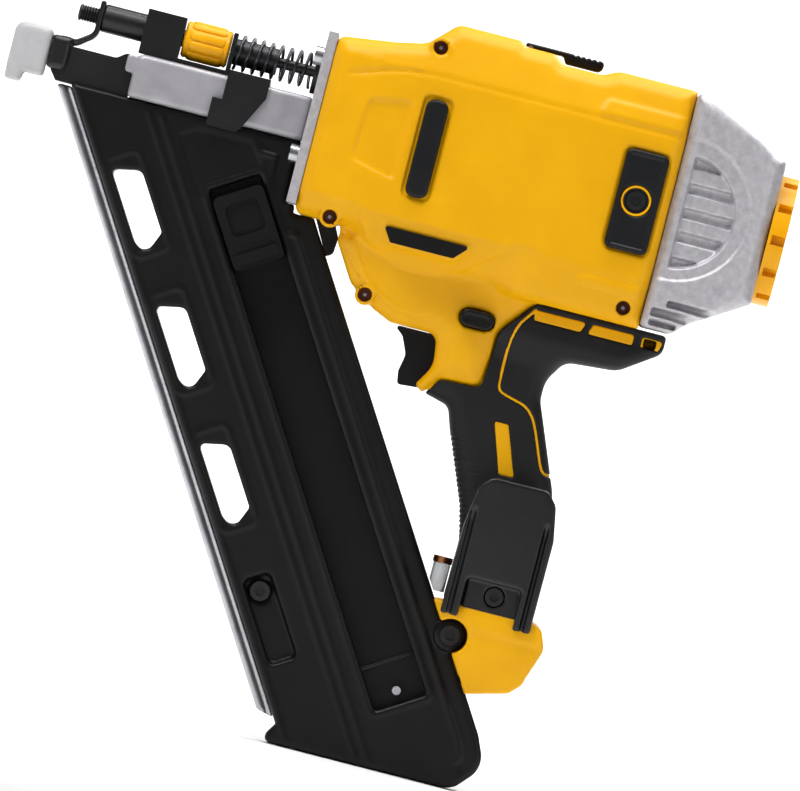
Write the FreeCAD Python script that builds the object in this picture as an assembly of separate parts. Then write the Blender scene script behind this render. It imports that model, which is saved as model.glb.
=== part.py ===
"""Cordless framing nailer: a battery nail gun with an angled stick magazine, built as an assembly.

Frame: +X runs from the nose to the rear cap along the line the nail is driven, +Y to the tool's right,
+Z up. The origin is the centre of the no-mar pad's front face, where the nail leaves. Millimetres.
"""
import FreeCAD
import Part
import math
import os

from FreeCAD import Vector

os.makedirs("parts", exist_ok=True)

# ---------------------------------------------------------------- driving dimensions
RUN = 0.3                    # running clearance between faces that slide past each other
SNUG = 0.05                  # radial clearance of a shaft in its bearing or bush
WALL = 3.0                   # moulded wall of the casings
BEVEL = 4.0                  # bevel round the casings' side faces

NOSE_R = 4.2                 # nail channel through the nose
NOSE_HALF = 8.0              # half width of the channel nose
NOSEPIECE_HALF = 15.0
FLANGE_X = 139.5             # front face of the flange plate
HEAD_FRONT = 144.0           # front face of the moulded casing
HEAD_REAR = 309.0            # joint between the casing and the rear cap
HEAD_TOP = 57.0
HEAD_BOTTOM = -42.0
HEAD_HALF = 38.0             # half width of the casing's head
BULGE_HALF = 24.0            # half width of the flywheel bulge below the head
GRIP_HALF = 17.0             # half width of the handle over its rubber
GRIP_SKIN = 2.4              # thickness of the handle's rubber
FOOT_HALF = 31.0             # half width of the battery foot
SLOT_HALF = 24.0             # half width of the battery slot
TOOL_REAR = 364.0            # rear face of the bumper ring
CAP_R = 30.0                 # radius of the bumper ring

MAG_ANGLE = 32.1             # lean of the nail stick, from square to the drive line
RAIL_FRONT = 14.3            # distances across the magazine, square to its length
MAG_FRONT = 20.7
MAG_REAR = 107.5
MAG_HALF = 13.0
MAG_BOTTOM = -279.0
MAG_TOP = -10.6
CHANNEL_HALF = 4.2           # half width of the slot that the nail stick slides in
WINDOW_PITCH = 65.8
WINDOW_FRONT = 26.3
WINDOW_REAR = 39.5
PUSHER_TOP = 95.0            # start of the pusher's finger block along the magazine
PUSHER_TRAVEL = 185.0

TRIP_Z = 22.8                # height of the contact trip's rod over the drive line
TRIP_TRAVEL = 10.0
DEPTH_TRAVEL = 2.5           # depth setting, each way

DRIVER_TRAVEL = 108.0
DRIVER_TIP = 118.0
WHEEL_X = 200.0              # flywheel axle
WHEEL_R = 32.0
PROFILE_DOWN = 3.0           # underside of the driver's profile below the drive line
PROFILE_UP = 5.0
ROLLER_R = 8.0
ROLLER_LIFT = 2.3            # the roller's clearance over the profile at rest
PIVOT_X = 226.0              # pinch arm pivot
PIVOT_Z = 20.0
FRAME_HALF = 20.0            # half width over the inner frame's side plates
ROD_Y = 12.0                 # guide rods
ROD_Z = 1.5
ROD_R = 2.5

TRIGGER_TRAVEL = 5.0
TRIGGER_HALF = 7.0
BUTTON_X = 237.0
BUTTON_Z = -68.5
BUTTON_TRAVEL = 3.0
LEVER_X = 230.0              # stall release lever pin
LEVER_Z = 57.6
POCKET = 1.6                 # depth that the side bumpers are let into the head
BATTERY_SLOPE = 14.4         # slope of the battery rails to the drive line

WHEEL_Z = -(PROFILE_DOWN + RUN + WHEEL_R)


# ---------------------------------------------------------------- drawing helpers
def rounded_wire(points, y=0.0):
    """A closed wire in the plane y. Each point is (x, z) or (x, z, corner radius)."""
    corners = [(Vector(p[0], y, p[1]), p[2] if len(p) > 2 else 0.0) for p in points]
    runs = []
    count = len(corners)
    for i, (at, radius) in enumerate(corners):
        before = corners[i - 1][0] - at
        after = corners[(i + 1) % count][0] - at
        if radius <= 0:
            runs.append((at, at, None))
            continue
        half = before.getAngle(after) / 2
        back = min(radius / math.tan(half), 0.49 * before.Length, 0.49 * after.Length)
        before.normalize()
        after.normalize()
        middle = before + after
        middle.normalize()
        r = back * math.tan(half)
        peak = at + middle * (r / math.sin(half) - r)
        runs.append((at + before * back, at + after * back, peak))
    edges = []
    for i, (start, end, peak) in enumerate(runs):
        if peak is not None:
            edges.append(Part.Arc(start, peak, end).toShape())
        following = runs[(i + 1) % count][0]
        if (following - end).Length > 1e-6:
            edges.append(Part.LineSegment(end, following).toShape())
    return Part.Wire(edges)


def slab(points, low, high):
    """A flat plate with that XZ outline, from y = low to y = high."""
    return Part.Face(rounded_wire(points, low)).extrude(Vector(0, high - low, 0))


def shrunk(points, amount):
    """The same outline moved inwards by that amount, its corner radii kept in step."""
    flat = [Vector(p[0], 0, p[1]) for p in points]
    count = len(flat)
    area = sum(flat[i - 1].x * flat[i].z - flat[i].x * flat[i - 1].z for i in range(count))
    turn = 1.0 if area > 0 else -1.0
    out = []
    for i, at in enumerate(flat):
        a = at - flat[i - 1]
        b = flat[(i + 1) % count] - at
        a.normalize()
        b.normalize()
        na = Vector(-a.z, 0, a.x) * turn
        nb = Vector(-b.z, 0, b.x) * turn
        shift = (na + nb) * (amount / (1 + na.dot(nb)))
        convex = (a.x * b.z - a.z * b.x) * turn > 0
        radius = points[i][2] if len(points[i]) > 2 else 0.0
        if radius > 0:
            radius = max(0.3, radius - amount) if convex else radius + amount
        out.append((at.x + shift.x, at.z + shift.z, radius))
    return out


def bevelled(points, half, bevel):
    """Half a casing block: that outline from y = 0 to y = -half, bevelled round its side face."""
    core = slab(points, -(half - bevel), 0)
    rims = [rounded_wire(points, -(half - bevel)), rounded_wire(shrunk(points, bevel * 0.8), -half)]
    return core.fuse(Part.makeLoft(rims, True, True))


def box(x0, x1, y0, y1, z0, z1):
    return Part.makeBox(x1 - x0, y1 - y0, z1 - z0, Vector(x0, y0, z0))


def rod_x(x0, x1, r, z=0.0, y=0.0):
    return Part.makeCylinder(r, x1 - x0, Vector(x0, y, z), Vector(1, 0, 0))


def rod_y(y0, y1, r, x, z):
    return Part.makeCylinder(r, y1 - y0, Vector(x, y0, z), Vector(0, 1, 0))


def tube_x(x0, x1, outer, inner, z=0.0, y=0.0):
    return rod_x(x0, x1, outer, z, y).cut(rod_x(x0 - 1, x1 + 1, inner, z, y))


def tube_y(y0, y1, outer, inner, x, z):
    return rod_y(y0, y1, outer, x, z).cut(rod_y(y0 - 1, y1 + 1, inner, x, z))


def mirrored(shape):
    return shape.mirror(Vector(0, 0, 0), Vector(0, 1, 0))


def joined(first, *others):
    shape = first
    for other in others:
        shape = shape.fuse(other)
    return shape.removeSplitter()


def less(shape, *others):
    for other in others:
        shape = shape.cut(other)
    return shape


def across(u, v):
    """The (x, z) point u along the magazine and v across it."""
    a = math.radians(MAG_ANGLE)
    return (u * math.sin(a) + v * math.cos(a), -u * math.cos(a) + v * math.sin(a))


def at_height(v, z):
    """The (x, z) point of the magazine's line v at height z."""
    a = math.radians(MAG_ANGLE)
    return ((v - z * math.sin(a)) / math.cos(a), z)


def strip(u0, u1, v0, v1, low, high, r=0.0):
    """A bar lined up with the magazine, from y = low to y = high."""
    corners = [across(u0, v0), across(u0, v1), across(u1, v1), across(u1, v0)]
    return slab([(c[0], c[1], r) for c in corners], low, high)


def coil_x(x0, x1, radius, wire, turns, z, y=0.0):
    """A compression spring along X: round wire on a helix, its ends inside x0 and x1."""
    length = x1 - x0 - wire
    helix = Part.makeHelix(length / turns, length, radius)
    helix.rotate(Vector(0, 0, 0), Vector(0, 1, 0), 90)
    helix.translate(Vector(x0 + wire / 2, y, z))
    edge = helix.Edges[0]
    start = edge.valueAt(edge.FirstParameter)
    circle = Part.Wire(Part.Circle(start, edge.tangentAt(edge.FirstParameter), wire / 2).toShape())
    return Part.Wire(helix.Edges).makePipeShell([circle], True, True)


def screw_y(x, z, head_y, tip_y, head_r, shank_r, head):
    """A socket screw across the tool, its head at head_y and its end at tip_y."""
    way = 1.0 if tip_y > head_y else -1.0
    at = Vector(x, head_y, z)
    body = Part.makeCylinder(head_r, head, at, Vector(0, way, 0))
    shank = Part.makeCylinder(shank_r, abs(tip_y - head_y), at, Vector(0, way, 0))
    socket = Part.makeCylinder(head_r * 0.5, head * 0.6, at, Vector(0, way, 0))
    return body.fuse(shank).cut(socket)


def save(name, *solids):
    shape = solids[0] if len(solids) == 1 else Part.makeCompound(list(solids))
    shape.exportStep("parts/%s.step" % name)


# ---------------------------------------------------------------- casing outlines
HEAD = [(HEAD_FRONT, 41, 4), (170, 44.5, 20), (184, 47.5, 10), (196, 59.5, 6), (240, 59.5, 4),
        (247, 53.5, 4), (265, 53.5, 4), (272, HEAD_TOP, 8), (HEAD_REAR, HEAD_TOP),
        (HEAD_REAR, -54.5), (262, -54.5, 3), (222, -54, 20), (200, -57, 20), (179, -50, 12),
        (172, HEAD_BOTTOM, 4), (HEAD_FRONT, HEAD_BOTTOM, 4)]
BULGE = [(225, -45), (270, -45), (262, -54.5, 8), (248, -72, 10), (246, -98, 5), (227, -99, 3),
         (221, -107, 1), (217, -104, 1), (223, -94, 12), (221, -79.5, 5), (199, -79.5, 3),
         (190, -75.5, 6), (177, -66.5, 8), (165.5, -48, 5), (172, -38, 2)]
GRIP = [(260, -54.5, 2), (323, -54.5, 2), (323, -63, 6), (305, -75.5, 12), (281, -77.5, 8),
        (274.5, -86, 9), (274.5, -97, 9), (291, -138, 30), (295, -196, 2), (253.5, -196, 2),
        (254, -168, 6), (250, -152, 30), (238, -122, 25), (234, -110, 5), (222, -107, 1),
        (227.5, -99.2, 1), (246.5, -98.2, 3), (248.3, -72, 8)]
BULGE_ROOM = [(228, -47), (262, -47), (259, -56, 6), (245, -73, 8), (243, -94, 3), (229, -95, 2),
              (226, -90, 2), (224.5, -76.2, 3), (199, -76.2, 3), (190, -71.5, 5), (179.5, -64, 6), (170, -48, 3), (175, -40, 2)]
GRIP_ROOM = [(268, -58, 2), (316, -58, 2), (300, -70, 6), (278, -72, 6), (268, -82, 6), (268.5, -98, 6),
             (285, -140, 20), (289, -190, 2), (260, -190, 2), (260, -170, 6), (257, -152, 20),
             (246, -124, 15), (241, -112, 3), (250, -104, 3), (254, -98, 2), (254, -74, 4)]
FOOT = [at_height(MAG_REAR + 0.6, -196), (300, -196, 6), (304, -207, 5), (298, -225, 4), (293, -230, 3),
        at_height(MAG_REAR + 0.6, -235)]
FOOT_ROOM = [(259, -199, 1), (297, -199, 3), (300.5, -206.5, 2), (299, -210.5, 1), (270, -218, 1)]
CAP = [(HEAD_REAR, HEAD_TOP), (317, 54.5, 20), (327, 50, 20), (347, 38, 4), (356, 34, 1), (356, -31, 1),
       (340, -41, 10), (330, -47, 20), (324, -53, 2), (HEAD_REAR, -53)]
MAGAZINE = [at_height(MAG_FRONT, MAG_TOP), (FLANGE_X - 1.5, MAG_TOP), (FLANGE_X - 1.5, -42.5),
            (153.6, -42.5), at_height(MAG_REAR, -60), at_height(MAG_REAR, -252) + (12,), (291, -266, 12),
            (279, MAG_BOTTOM, 10), (188, MAG_BOTTOM, 6), at_height(MAG_FRONT, -270)]
BOSSES = [(190.5, 47.0), (184.8, -70.2), (160.0, -36.0), (300.0, -47.0)]
BUMPER_SCREW = (293.5, 1.5)
FOOT_BOLT = (261.0, -211.0)
HOOK_SCREW = (276.0, -189.0)


def core_links():
    """The bridges from the handle's core, under its rubber, to the bulge, the head and the foot."""
    half = GRIP_HALF - GRIP_SKIN
    return [box(262, 300, -half, 0, -58, -53), box(258, 290, -half, 0, -197, -192),
            box(244, 256, -half, 0, -94, -62)]


def battery_line(x, down=0.0):
    """A point on the line of the battery rails, that far below the slot's roof."""
    return (x, -222 + (x - 268.6) * math.tan(math.radians(BATTERY_SLOPE)) - down)


def finger_openings():
    """The spaces the casing leaves for the trigger, the cross bolt and the stall lever."""
    trigger = box(212, 232.2, -(TRIGGER_HALF + RUN), 1, -99, -79.2)
    hip = box(212, 226, -(TRIGGER_HALF + RUN), 1, -108, -98)
    button = slab(shrunk(button_outline(), -RUN), -HEAD_HALF, 1)
    lever = box(225.5, 248, -(10 + RUN), 1, 57.8, 62)
    knuckle = box(LEVER_X - 3, LEVER_X + 3.6, -(10 + RUN), 1, 54.9, 59)
    return trigger, hip, button, lever, knuckle


def button_outline():
    return [(BUTTON_X - 8, BUTTON_Z - 4, 3.9), (BUTTON_X + 8, BUTTON_Z - 4, 3.9),
            (BUTTON_X + 8, BUTTON_Z + 4, 3.9), (BUTTON_X - 8, BUTTON_Z + 4, 3.9)]


def bumper_pockets():
    front = box(189, 202.5, -HEAD_HALF - 1, -(HEAD_HALF - POCKET), -23, 25)
    rear = box(283.5, 304.5, -HEAD_HALF - 1, -(HEAD_HALF - POCKET), -22.5, 25)
    return front, rear


def plate_outline(grow=0.0):
    return shrunk([(185.5, -37.6, 1), (226, -37.6, 1), (219.5, -44.5, 1), (190, -44.5, 1)], -grow)


# ---------------------------------------------------------------- casing
def casing_half():
    """One clamshell half: head, flywheel bulge, handle core and battery foot, open at the mid plane."""
    head = bevelled(HEAD, HEAD_HALF, BEVEL)
    bulge = bevelled(BULGE, BULGE_HALF, 3.0)
    core = slab(shrunk(GRIP, GRIP_SKIN), -(GRIP_HALF - GRIP_SKIN), 0)
    foot = bevelled(FOOT, FOOT_HALF, 3.0)
    shape = joined(head, bulge, core, foot, *core_links())
    rooms = [slab(shrunk(HEAD, WALL), -(HEAD_HALF - WALL), 1),
             slab(BULGE_ROOM, -(BULGE_HALF - WALL), 1),
             box(184, 240, -(BULGE_HALF - WALL), 1, -60, -40),
             slab(GRIP_ROOM, -(GRIP_HALF - GRIP_SKIN - WALL), 1),
             box(266, 292, -(GRIP_HALF - GRIP_SKIN - WALL), 1, -62, -48),
             box(264, 284, -(GRIP_HALF - GRIP_SKIN - WALL), 1, -202, -186),
             slab(FOOT_ROOM, -(FOOT_HALF - WALL), 1),
             rod_y(-(BULGE_HALF - WALL), 1, WHEEL_R + 1, WHEEL_X, WHEEL_Z)]
    shape = less(shape, *rooms)
    for x, z in BOSSES:
        shape = shape.fuse(rod_y(-BULGE_HALF if z < -50 else -(HEAD_HALF - WALL), 0, 5.2, x, z))
    shape = shape.fuse(rod_y(-(HEAD_HALF - WALL) - 0.5, -FRAME_HALF, 5.0, *BUMPER_SCREW))
    return shape.fuse(box(234, 241, -(BULGE_HALF - 2), -8, -91, -86))


BOLT_Y = MAG_HALF + 5.5
FLANGE_BOLTS = [(-BOLT_Y, -16.0), (BOLT_Y, -16.0), (-BOLT_Y, 30.0), (BOLT_Y, 30.0)]


def casing_openings():
    """Everything cut through a casing half once its bosses are in."""
    front = box(HEAD_FRONT - 1, HEAD_FRONT + WALL + 0.5, -FRAME_HALF, 1, -13, 32)
    slope = [battery_line(262), battery_line(312), battery_line(312, 30), battery_line(262, 30)]
    slot = slab(slope, -SLOT_HALF, 1)
    lip = [battery_line(262, 3), battery_line(312, 3), battery_line(312, 8), battery_line(262, 8)]
    groove = slab(lip, -(SLOT_HALF + 3.5), 1)
    boss = less(rod_y(-FOOT_HALF - 1, 1, 7.8, *FOOT_BOLT), box(240, 280, -5, 2, -225, -195))
    cuts = [front, slot, groove, boss, rod_y(-9, 9, 2.5, *FOOT_BOLT)]
    cuts.append(rod_y(-HEAD_HALF - 1, -FRAME_HALF - 1, 1.95, *BUMPER_SCREW))
    cuts.extend([rod_x(HEAD_FRONT - 1, HEAD_FRONT + 9, 2.5, z, y) for y, z in FLANGE_BOLTS])
    cuts.extend(finger_openings())
    cuts.extend(bumper_pockets())
    cuts.append(slab(plate_outline(0.1), -HEAD_HALF - 1, -HEAD_HALF + 1.2))
    cuts.append(rod_y(-40, 1, 1.25, LEVER_X, LEVER_Z).common(box(220, 240, -13, 1, 50, 62)))
    return cuts


def make_casing():
    """Both clamshell halves. The screws enter from the left; the right half holds their threads."""
    half = less(casing_half(), *casing_openings())
    left = half
    right = mirrored(half)
    for x, z in BOSSES:
        outer = BULGE_HALF if z < -50 else HEAD_HALF - WALL
        left = less(left, rod_y(-HEAD_HALF - 1, 1, 2.05, x, z), rod_y(-HEAD_HALF - 1, -outer + 4, 4.0, x, z))
        right = less(right, rod_y(-1, outer - 2, 1.95, x, z))
    hook_x, hook_z = HOOK_SCREW
    left = left.fuse(rod_y(-(GRIP_HALF - GRIP_SKIN), 0, 4.5, hook_x, hook_z))
    right = right.fuse(rod_y(0, GRIP_HALF - GRIP_SKIN, 4.5, hook_x, hook_z))
    left = left.cut(rod_y(-GRIP_HALF, -4, 2.0, hook_x, hook_z))
    right = right.cut(rod_y(4, GRIP_HALF, 2.0, hook_x, hook_z))
    save("housing_left", left)
    save("housing_right", right)


def make_overmould():
    """The black rubber skin of the handle, one half on each clamshell."""
    flare = [(262.5, -54.5, 2), (323, -54.5, 2), (323, -63, 6), (305, -75.5, 12), (283, -77.5, 8),
             (249.5, -77.5, 4), (249.5, -71, 6)]
    skin = bevelled(GRIP, GRIP_HALF, 4.0).fuse(bevelled(flare, 22.0, 4.0))
    skin = less(skin, slab(shrunk(GRIP, GRIP_SKIN), -(GRIP_HALF - GRIP_SKIN), 1))
    skin = less(skin, *core_links())
    skin = less(skin, slab(BULGE, -BULGE_HALF, 1), *finger_openings()[:3])
    skin = skin.cut(rod_y(-GRIP_HALF - 8, 0, 4.6, *HOOK_SCREW))
    skin = max(skin.Solids, key=lambda s: s.Volume)
    save("overmould_left", skin)
    save("overmould_right", mirrored(skin))


def make_casing_screws():
    """Five clamshell screws, the rear one clamping the left side bumper as well."""
    screws = []
    for x, z in BOSSES:
        outer = BULGE_HALF if z < -50 else HEAD_HALF - WALL
        screws.append(screw_y(x, z, -outer + 0.4, outer - 8, 3.9, 1.9, 3.4))
    save("casing_screws", *screws)


def make_side_bumpers():
    """Rubber pads on the sides of the head, the rear pair screwed on through a coloured washer."""
    fronts = []
    rears = []
    rings = []
    screws = []
    x, z = BUMPER_SCREW
    for side in (-1, 1):
        y0 = side * (HEAD_HALF - POCKET)
        y1 = side * (HEAD_HALF + 2.5)
        low, high = min(y0, y1), max(y0, y1)
        front = slab([(190.5, -22, 4), (201, -22, 4), (201, 23.5, 4), (190.5, 23.5, 4)], low, high)
        rear = slab([(284, -22, 3), (304, -22, 3), (304, 24.5, 3), (284, 24.5, 3)], low, high)
        rear = less(rear, rod_y(-60, 60, 7.0, x, z))
        fronts.append(front)
        rears.append(rear)
        ring = tube_y(min(y0, y1 - side), max(y0, y1 - side), 7.0, 2.1, x, z)
        floor = y1 - side * 2.8
        rings.append(ring.cut(rod_y(min(floor, y1), max(floor, y1), 4.6, x, z)))
        screws.append(screw_y(x, z, y1 - side * 1.2, side * (FRAME_HALF + 2), 4.5, 1.9, 1.6))
    save("side_bumpers_front", *fronts)
    save("side_bumpers_rear", *rears)
    save("bumper_washers", *rings)
    save("bumper_screws", *screws)


def make_side_plates():
    """A blank plate let into each side of the head, where a maker would put its name."""
    plates = []
    for side in (-1, 1):
        y0, y1 = side * (HEAD_HALF - 1.2), side * (HEAD_HALF + 0.3)
        plates.append(slab(plate_outline(), min(y0, y1), max(y0, y1)))
    save("blank_plates", *plates)


def make_rear_cap():
    """The cast rear cap and the castellated rubber ring it carries."""
    plan = [(HEAD_REAR, -HEAD_HALF + 1), (330, -HEAD_HALF + 2), (348, -34), (356, -31),
            (356, 31), (348, 34), (330, HEAD_HALF - 2), (HEAD_REAR, HEAD_HALF - 1)]
    wire = Part.makePolygon([Vector(x, y, -70) for x, y in plan + plan[:1]])
    top = Part.Face(wire).extrude(Vector(0, 0, 150))
    cap = slab(CAP, -HEAD_HALF, HEAD_HALF).common(top)
    room = slab(shrunk(CAP, 4.0), -(HEAD_HALF - 6), HEAD_HALF - 6)
    mouth = box(HEAD_REAR - 1, HEAD_REAR + 5, -(HEAD_HALF - 6), HEAD_HALF - 6, -48, 50)
    cap = less(cap, room.common(box(300, 344, -40, 40, -60, 60)), mouth)
    for x0, x1, z0, z1 in ((319, 342, -41.5, -39), (313, 335, -46.5, -44)):
        slit = box(x0, x1, -60, 60, z0, z1)
        cap = cap.cut(slit.cut(box(300, 360, -28, 28, -60, 60)))
    for low, high in ((22.5, 27.5), (11, 15.5), (-0.5, 4), (-11.5, -7), (-24, -19)):
        band = box(316, 337, -60, 60, low, high)
        cap = cap.cut(band.cut(box(300, 360, -(HEAD_HALF - 3.5), HEAD_HALF - 3.5, -60, 60)))
    save("rear_cap", cap)
    ring = rod_x(356, TOOL_REAR, CAP_R)
    for k in range(12):
        notch = box(357.5, TOOL_REAR + 1, -2.2, 2.2, CAP_R - 4, CAP_R + 1)
        notch.rotate(Vector(0, 0, 0), Vector(1, 0, 0), 30 * k)
        ring = ring.cut(notch)
    ring = ring.cut(rod_x(360, TOOL_REAR + 1, 18.0))
    save("rear_bumper_ring", ring)


# ---------------------------------------------------------------- nose and contact trip
def driver_way(grow=RUN):
    """The space swept by the driver, with that clearance."""
    blade = rod_x(-1, DRIVER_TIP + 100, NOSE_R)
    low = DRIVER_TIP + 77 - DRIVER_TRAVEL - grow
    profile = box(low, 320, -(6.5 + grow), 6.5 + grow, -(PROFILE_DOWN + grow), PROFILE_UP + grow)
    return blade, profile


def nail_way():
    """The slot the nail stick climbs through to reach the drive line."""
    return strip(-30, 320, MAG_FRONT + 1.5, 101, -CHANNEL_HALF, CHANNEL_HALF).common(
        box(0, 300, -10, 10, -300, 0.01))


def make_nose():
    """The channel nose, the cast nosepiece behind it and the flange plate they bolt to."""
    blade, profile = driver_way()
    tip = [(20, 6.5, 1), (48, 6.5, 3), (52, 9.5, 2), (57, 9.5), (57, -10.3), at_height(RAIL_FRONT, -10.3),
           (20, -6, 2)]
    nose = less(slab(tip, -NOSE_HALF, NOSE_HALF), blade, nail_way())
    save("channel_nose", nose)
    body = bevelled([(57, 11, 1), (FLANGE_X, 11), (FLANGE_X, -9.5), (57, -9.5, 1)], NOSEPIECE_HALF, 2.0)
    body = joined(body, mirrored(body), slab([(53, 10, 1), (58, 10), (58, 1), (53, 1, 1)], 9, 13))
    body = body.fuse(slab([(53, 10, 1), (58, 10), (58, 1), (53, 1, 1)], -13, -9))
    save("nosepiece", less(body, blade, profile, nail_way()))
    flange = box(FLANGE_X, HEAD_FRONT, -30, 30, -38, 42)
    flange = flange.cut(box(FLANGE_X - 1, HEAD_FRONT + 1, -13.3, 13.3, -40, -12))
    flange = less(flange, blade, profile, rod_x(130, 160, 2.8, TRIP_Z))
    for y, z in FLANGE_BOLTS:
        flange = flange.cut(rod_x(130, 160, 2.5, z, y))
    save("front_flange", flange)
    bolts = []
    for y, z in FLANGE_BOLTS:
        bolt = rod_x(FLANGE_X - 4, FLANGE_X, 4.3, z, y).fuse(rod_x(FLANGE_X, HEAD_FRONT + 8, 2.5, z, y))
        bolts.append(bolt.cut(rod_x(FLANGE_X - 5, FLANGE_X - 2, 2.0, z, y)))
    save("flange_bolts", *bolts)


def make_contact_tip():
    """The parts that follow the depth setting: the soft pad, the steel tip and its threaded rod."""
    pad = slab([(0, 12.5, 5), (17.5, 12.5, 3), (17.5, -10.2, 1), (7.5, -10.2), (7.5, -15, 1),
                (0.5, -15, 1), (0, -9, 1)], -11, 11)
    pad = less(pad, rod_x(-1, 20, 5.0), box(6.5, 20, -(NOSE_HALF + RUN), NOSE_HALF + RUN, -12, 6.9))
    save("no_mar_pad", pad)
    sleeve = box(17.5, 27, -11, 11, -5.5, 10)
    sleeve = sleeve.cut(box(17, 40, -(NOSE_HALF + RUN), NOSE_HALF + RUN, -8, 6.9))
    arm = slab([(24, 10), (24, 7.2), (29, 7.2, 4), (37.5, 14, 6), (37.5, 30.5, 3), (35, 30.5, 3), (35, 16, 4),
                (28, 10, 2)], -6, 6)
    tip = joined(sleeve, arm).cut(rod_x(30, 40, 4.0, TRIP_Z))
    save("contact_tip", tip)
    rod = joined(rod_x(26, 39, 4.0, TRIP_Z), rod_x(37.5, 58.5, 6.5, TRIP_Z), rod_x(58, 94.5, 4.0, TRIP_Z))
    save("trip_rod", rod)


def make_trip_cradle():
    """The sprung carriage: a collar block, the wheel's tray, the strap and the spring's sleeve."""
    collar = box(57, 75, -9, 9, 13, 32)
    tray = box(57, 99.5, -9, 9, 11.3, 13.2)
    upright = box(97.5, 99.5, -9, 9, 12, 31)
    cradle = joined(collar, tray, upright)
    cradle = less(cradle, rod_x(50, 97.4, 4.0 + SNUG, TRIP_Z), rod_x(50, 64.5, 6.5 + RUN, TRIP_Z))
    save("trip_cradle", cradle)
    inner = max(NOSEPIECE_HALF, MAG_HALF) + RUN
    outer = inner + 1.7
    top = box(99.5, 119, -outer, outer, 12.0, 14.0)
    side = [(99.5, 14), (119, 14), (119, 5), (111, -11, 2), (109, -13, 1), (95, -13, 1), (95, 0), (99.5, 0)]
    left = slab(side, -outer, -inner)
    right = slab(side, inner, outer)
    save("trip_strap", joined(top, left, right))
    sleeve = joined(rod_x(99.5, 120, 6.0, TRIP_Z), rod_x(119, 152, 2.5, TRIP_Z))
    save("trip_plunger", sleeve)
    wheel = rod_x(75.5, 97.2, 9.2, TRIP_Z)
    for k in range(10):
        angle = math.radians(36 * k)
        y, z = 10.2 * math.cos(angle), TRIP_Z + 10.2 * math.sin(angle)
        wheel = wheel.cut(rod_x(78, 95, 1.9, z, y))
    save("depth_wheel", wheel.cut(rod_x(70, 99, 4.0 + SNUG, TRIP_Z)))
    washer = tube_x(137, FLANGE_X, 10.0, 2.8, TRIP_Z)
    save("spring_seat", washer)
    save("trip_spring", coil_x(99.8, 136.7, 7.7, 1.5, 8, TRIP_Z))


# ---------------------------------------------------------------- drive
def make_inner_frame():
    """The metal frame inside the head that carries the axle, the rods and the solenoid."""
    side = [(HEAD_FRONT, 30), (300, 30, 3), (306, 24), (306, -12, 3), (228, -12, 6), (214, -46, 8),
            (186, -46, 8), (172, -12, 6), (HEAD_FRONT, -12)]
    plates = [slab(side, -FRAME_HALF, -FRAME_HALF + 3), slab(side, FRAME_HALF - 3, FRAME_HALF)]
    front = box(HEAD_FRONT, HEAD_FRONT + 3, -FRAME_HALF, FRAME_HALF, -12, 30)
    rear = box(303, 306, -FRAME_HALF, FRAME_HALF, -12, 24)
    shelf = box(236, 274, -FRAME_HALF, FRAME_HALF, 25, 27)
    frame = joined(plates[0], plates[1], front, rear, shelf)
    blade, profile = driver_way()
    profile = profile.common(box(0, 300, -20, 20, -20, 20))
    frame = less(frame, blade.common(box(0, 160, -20, 20, -20, 20)), profile)
    frame = less(frame, rod_x(140, 150, 2.8, TRIP_Z), rod_y(-40, 40, 4.0, WHEEL_X, WHEEL_Z))
    frame = less(frame, rod_y(-40, 40, 2.5, PIVOT_X, PIVOT_Z))
    for y in (-ROD_Y, ROD_Y):
        frame = frame.cut(rod_x(140, 310, ROD_R, ROD_Z, y))
    for y, z in FLANGE_BOLTS:
        frame = frame.cut(rod_x(140, 160, 2.5, z, y))
    save("inner_frame", frame)
    save("guide_rods", *[rod_x(HEAD_FRONT + 0.2, 306, ROD_R, ROD_Z, y) for y in (-ROD_Y, ROD_Y)])
    save("driver_bumper", box(300.3, 303, -8, 8, -PROFILE_DOWN, PROFILE_UP))


def make_driver():
    """The driver: a blade that strikes the nail and a grooved profile that the flywheel grips."""
    start = DRIVER_TIP + 77
    blade = box(DRIVER_TIP, start + 1, -2.6, 2.6, -2.6, 2.6)
    profile = box(start, 300, -6.5, 6.5, -PROFILE_DOWN, PROFILE_UP)
    cross = box(288, 300, -(ROD_Y + 4.4), ROD_Y + 4.4, -PROFILE_DOWN, PROFILE_UP)
    driver = joined(blade, profile, cross)
    for y in (-3.2, 3.2):
        groove = slab([(0, 0), (1, 0), (1, 1), (0, 1)], 0, 1)
        wire = Part.makePolygon([Vector(start - 1, y - 1.6, -PROFILE_DOWN - 0.1),
                                 Vector(start - 1, y + 1.6, -PROFILE_DOWN - 0.1),
                                 Vector(start - 1, y, -PROFILE_DOWN + 1.5),
                                 Vector(start - 1, y - 1.6, -PROFILE_DOWN - 0.1)])
        groove = Part.Face(wire).extrude(Vector(92, 0, 0))
        driver = driver.cut(groove)
    for y in (-ROD_Y, ROD_Y):
        driver = driver.cut(rod_x(280, 310, ROD_R + SNUG, ROD_Z, y))
    save("driver", driver)
    springs = [coil_x(147.3, 287.7, 4.1, 1.0, 24, ROD_Z, y) for y in (-ROD_Y, ROD_Y)]
    save("return_springs", *springs)


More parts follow.
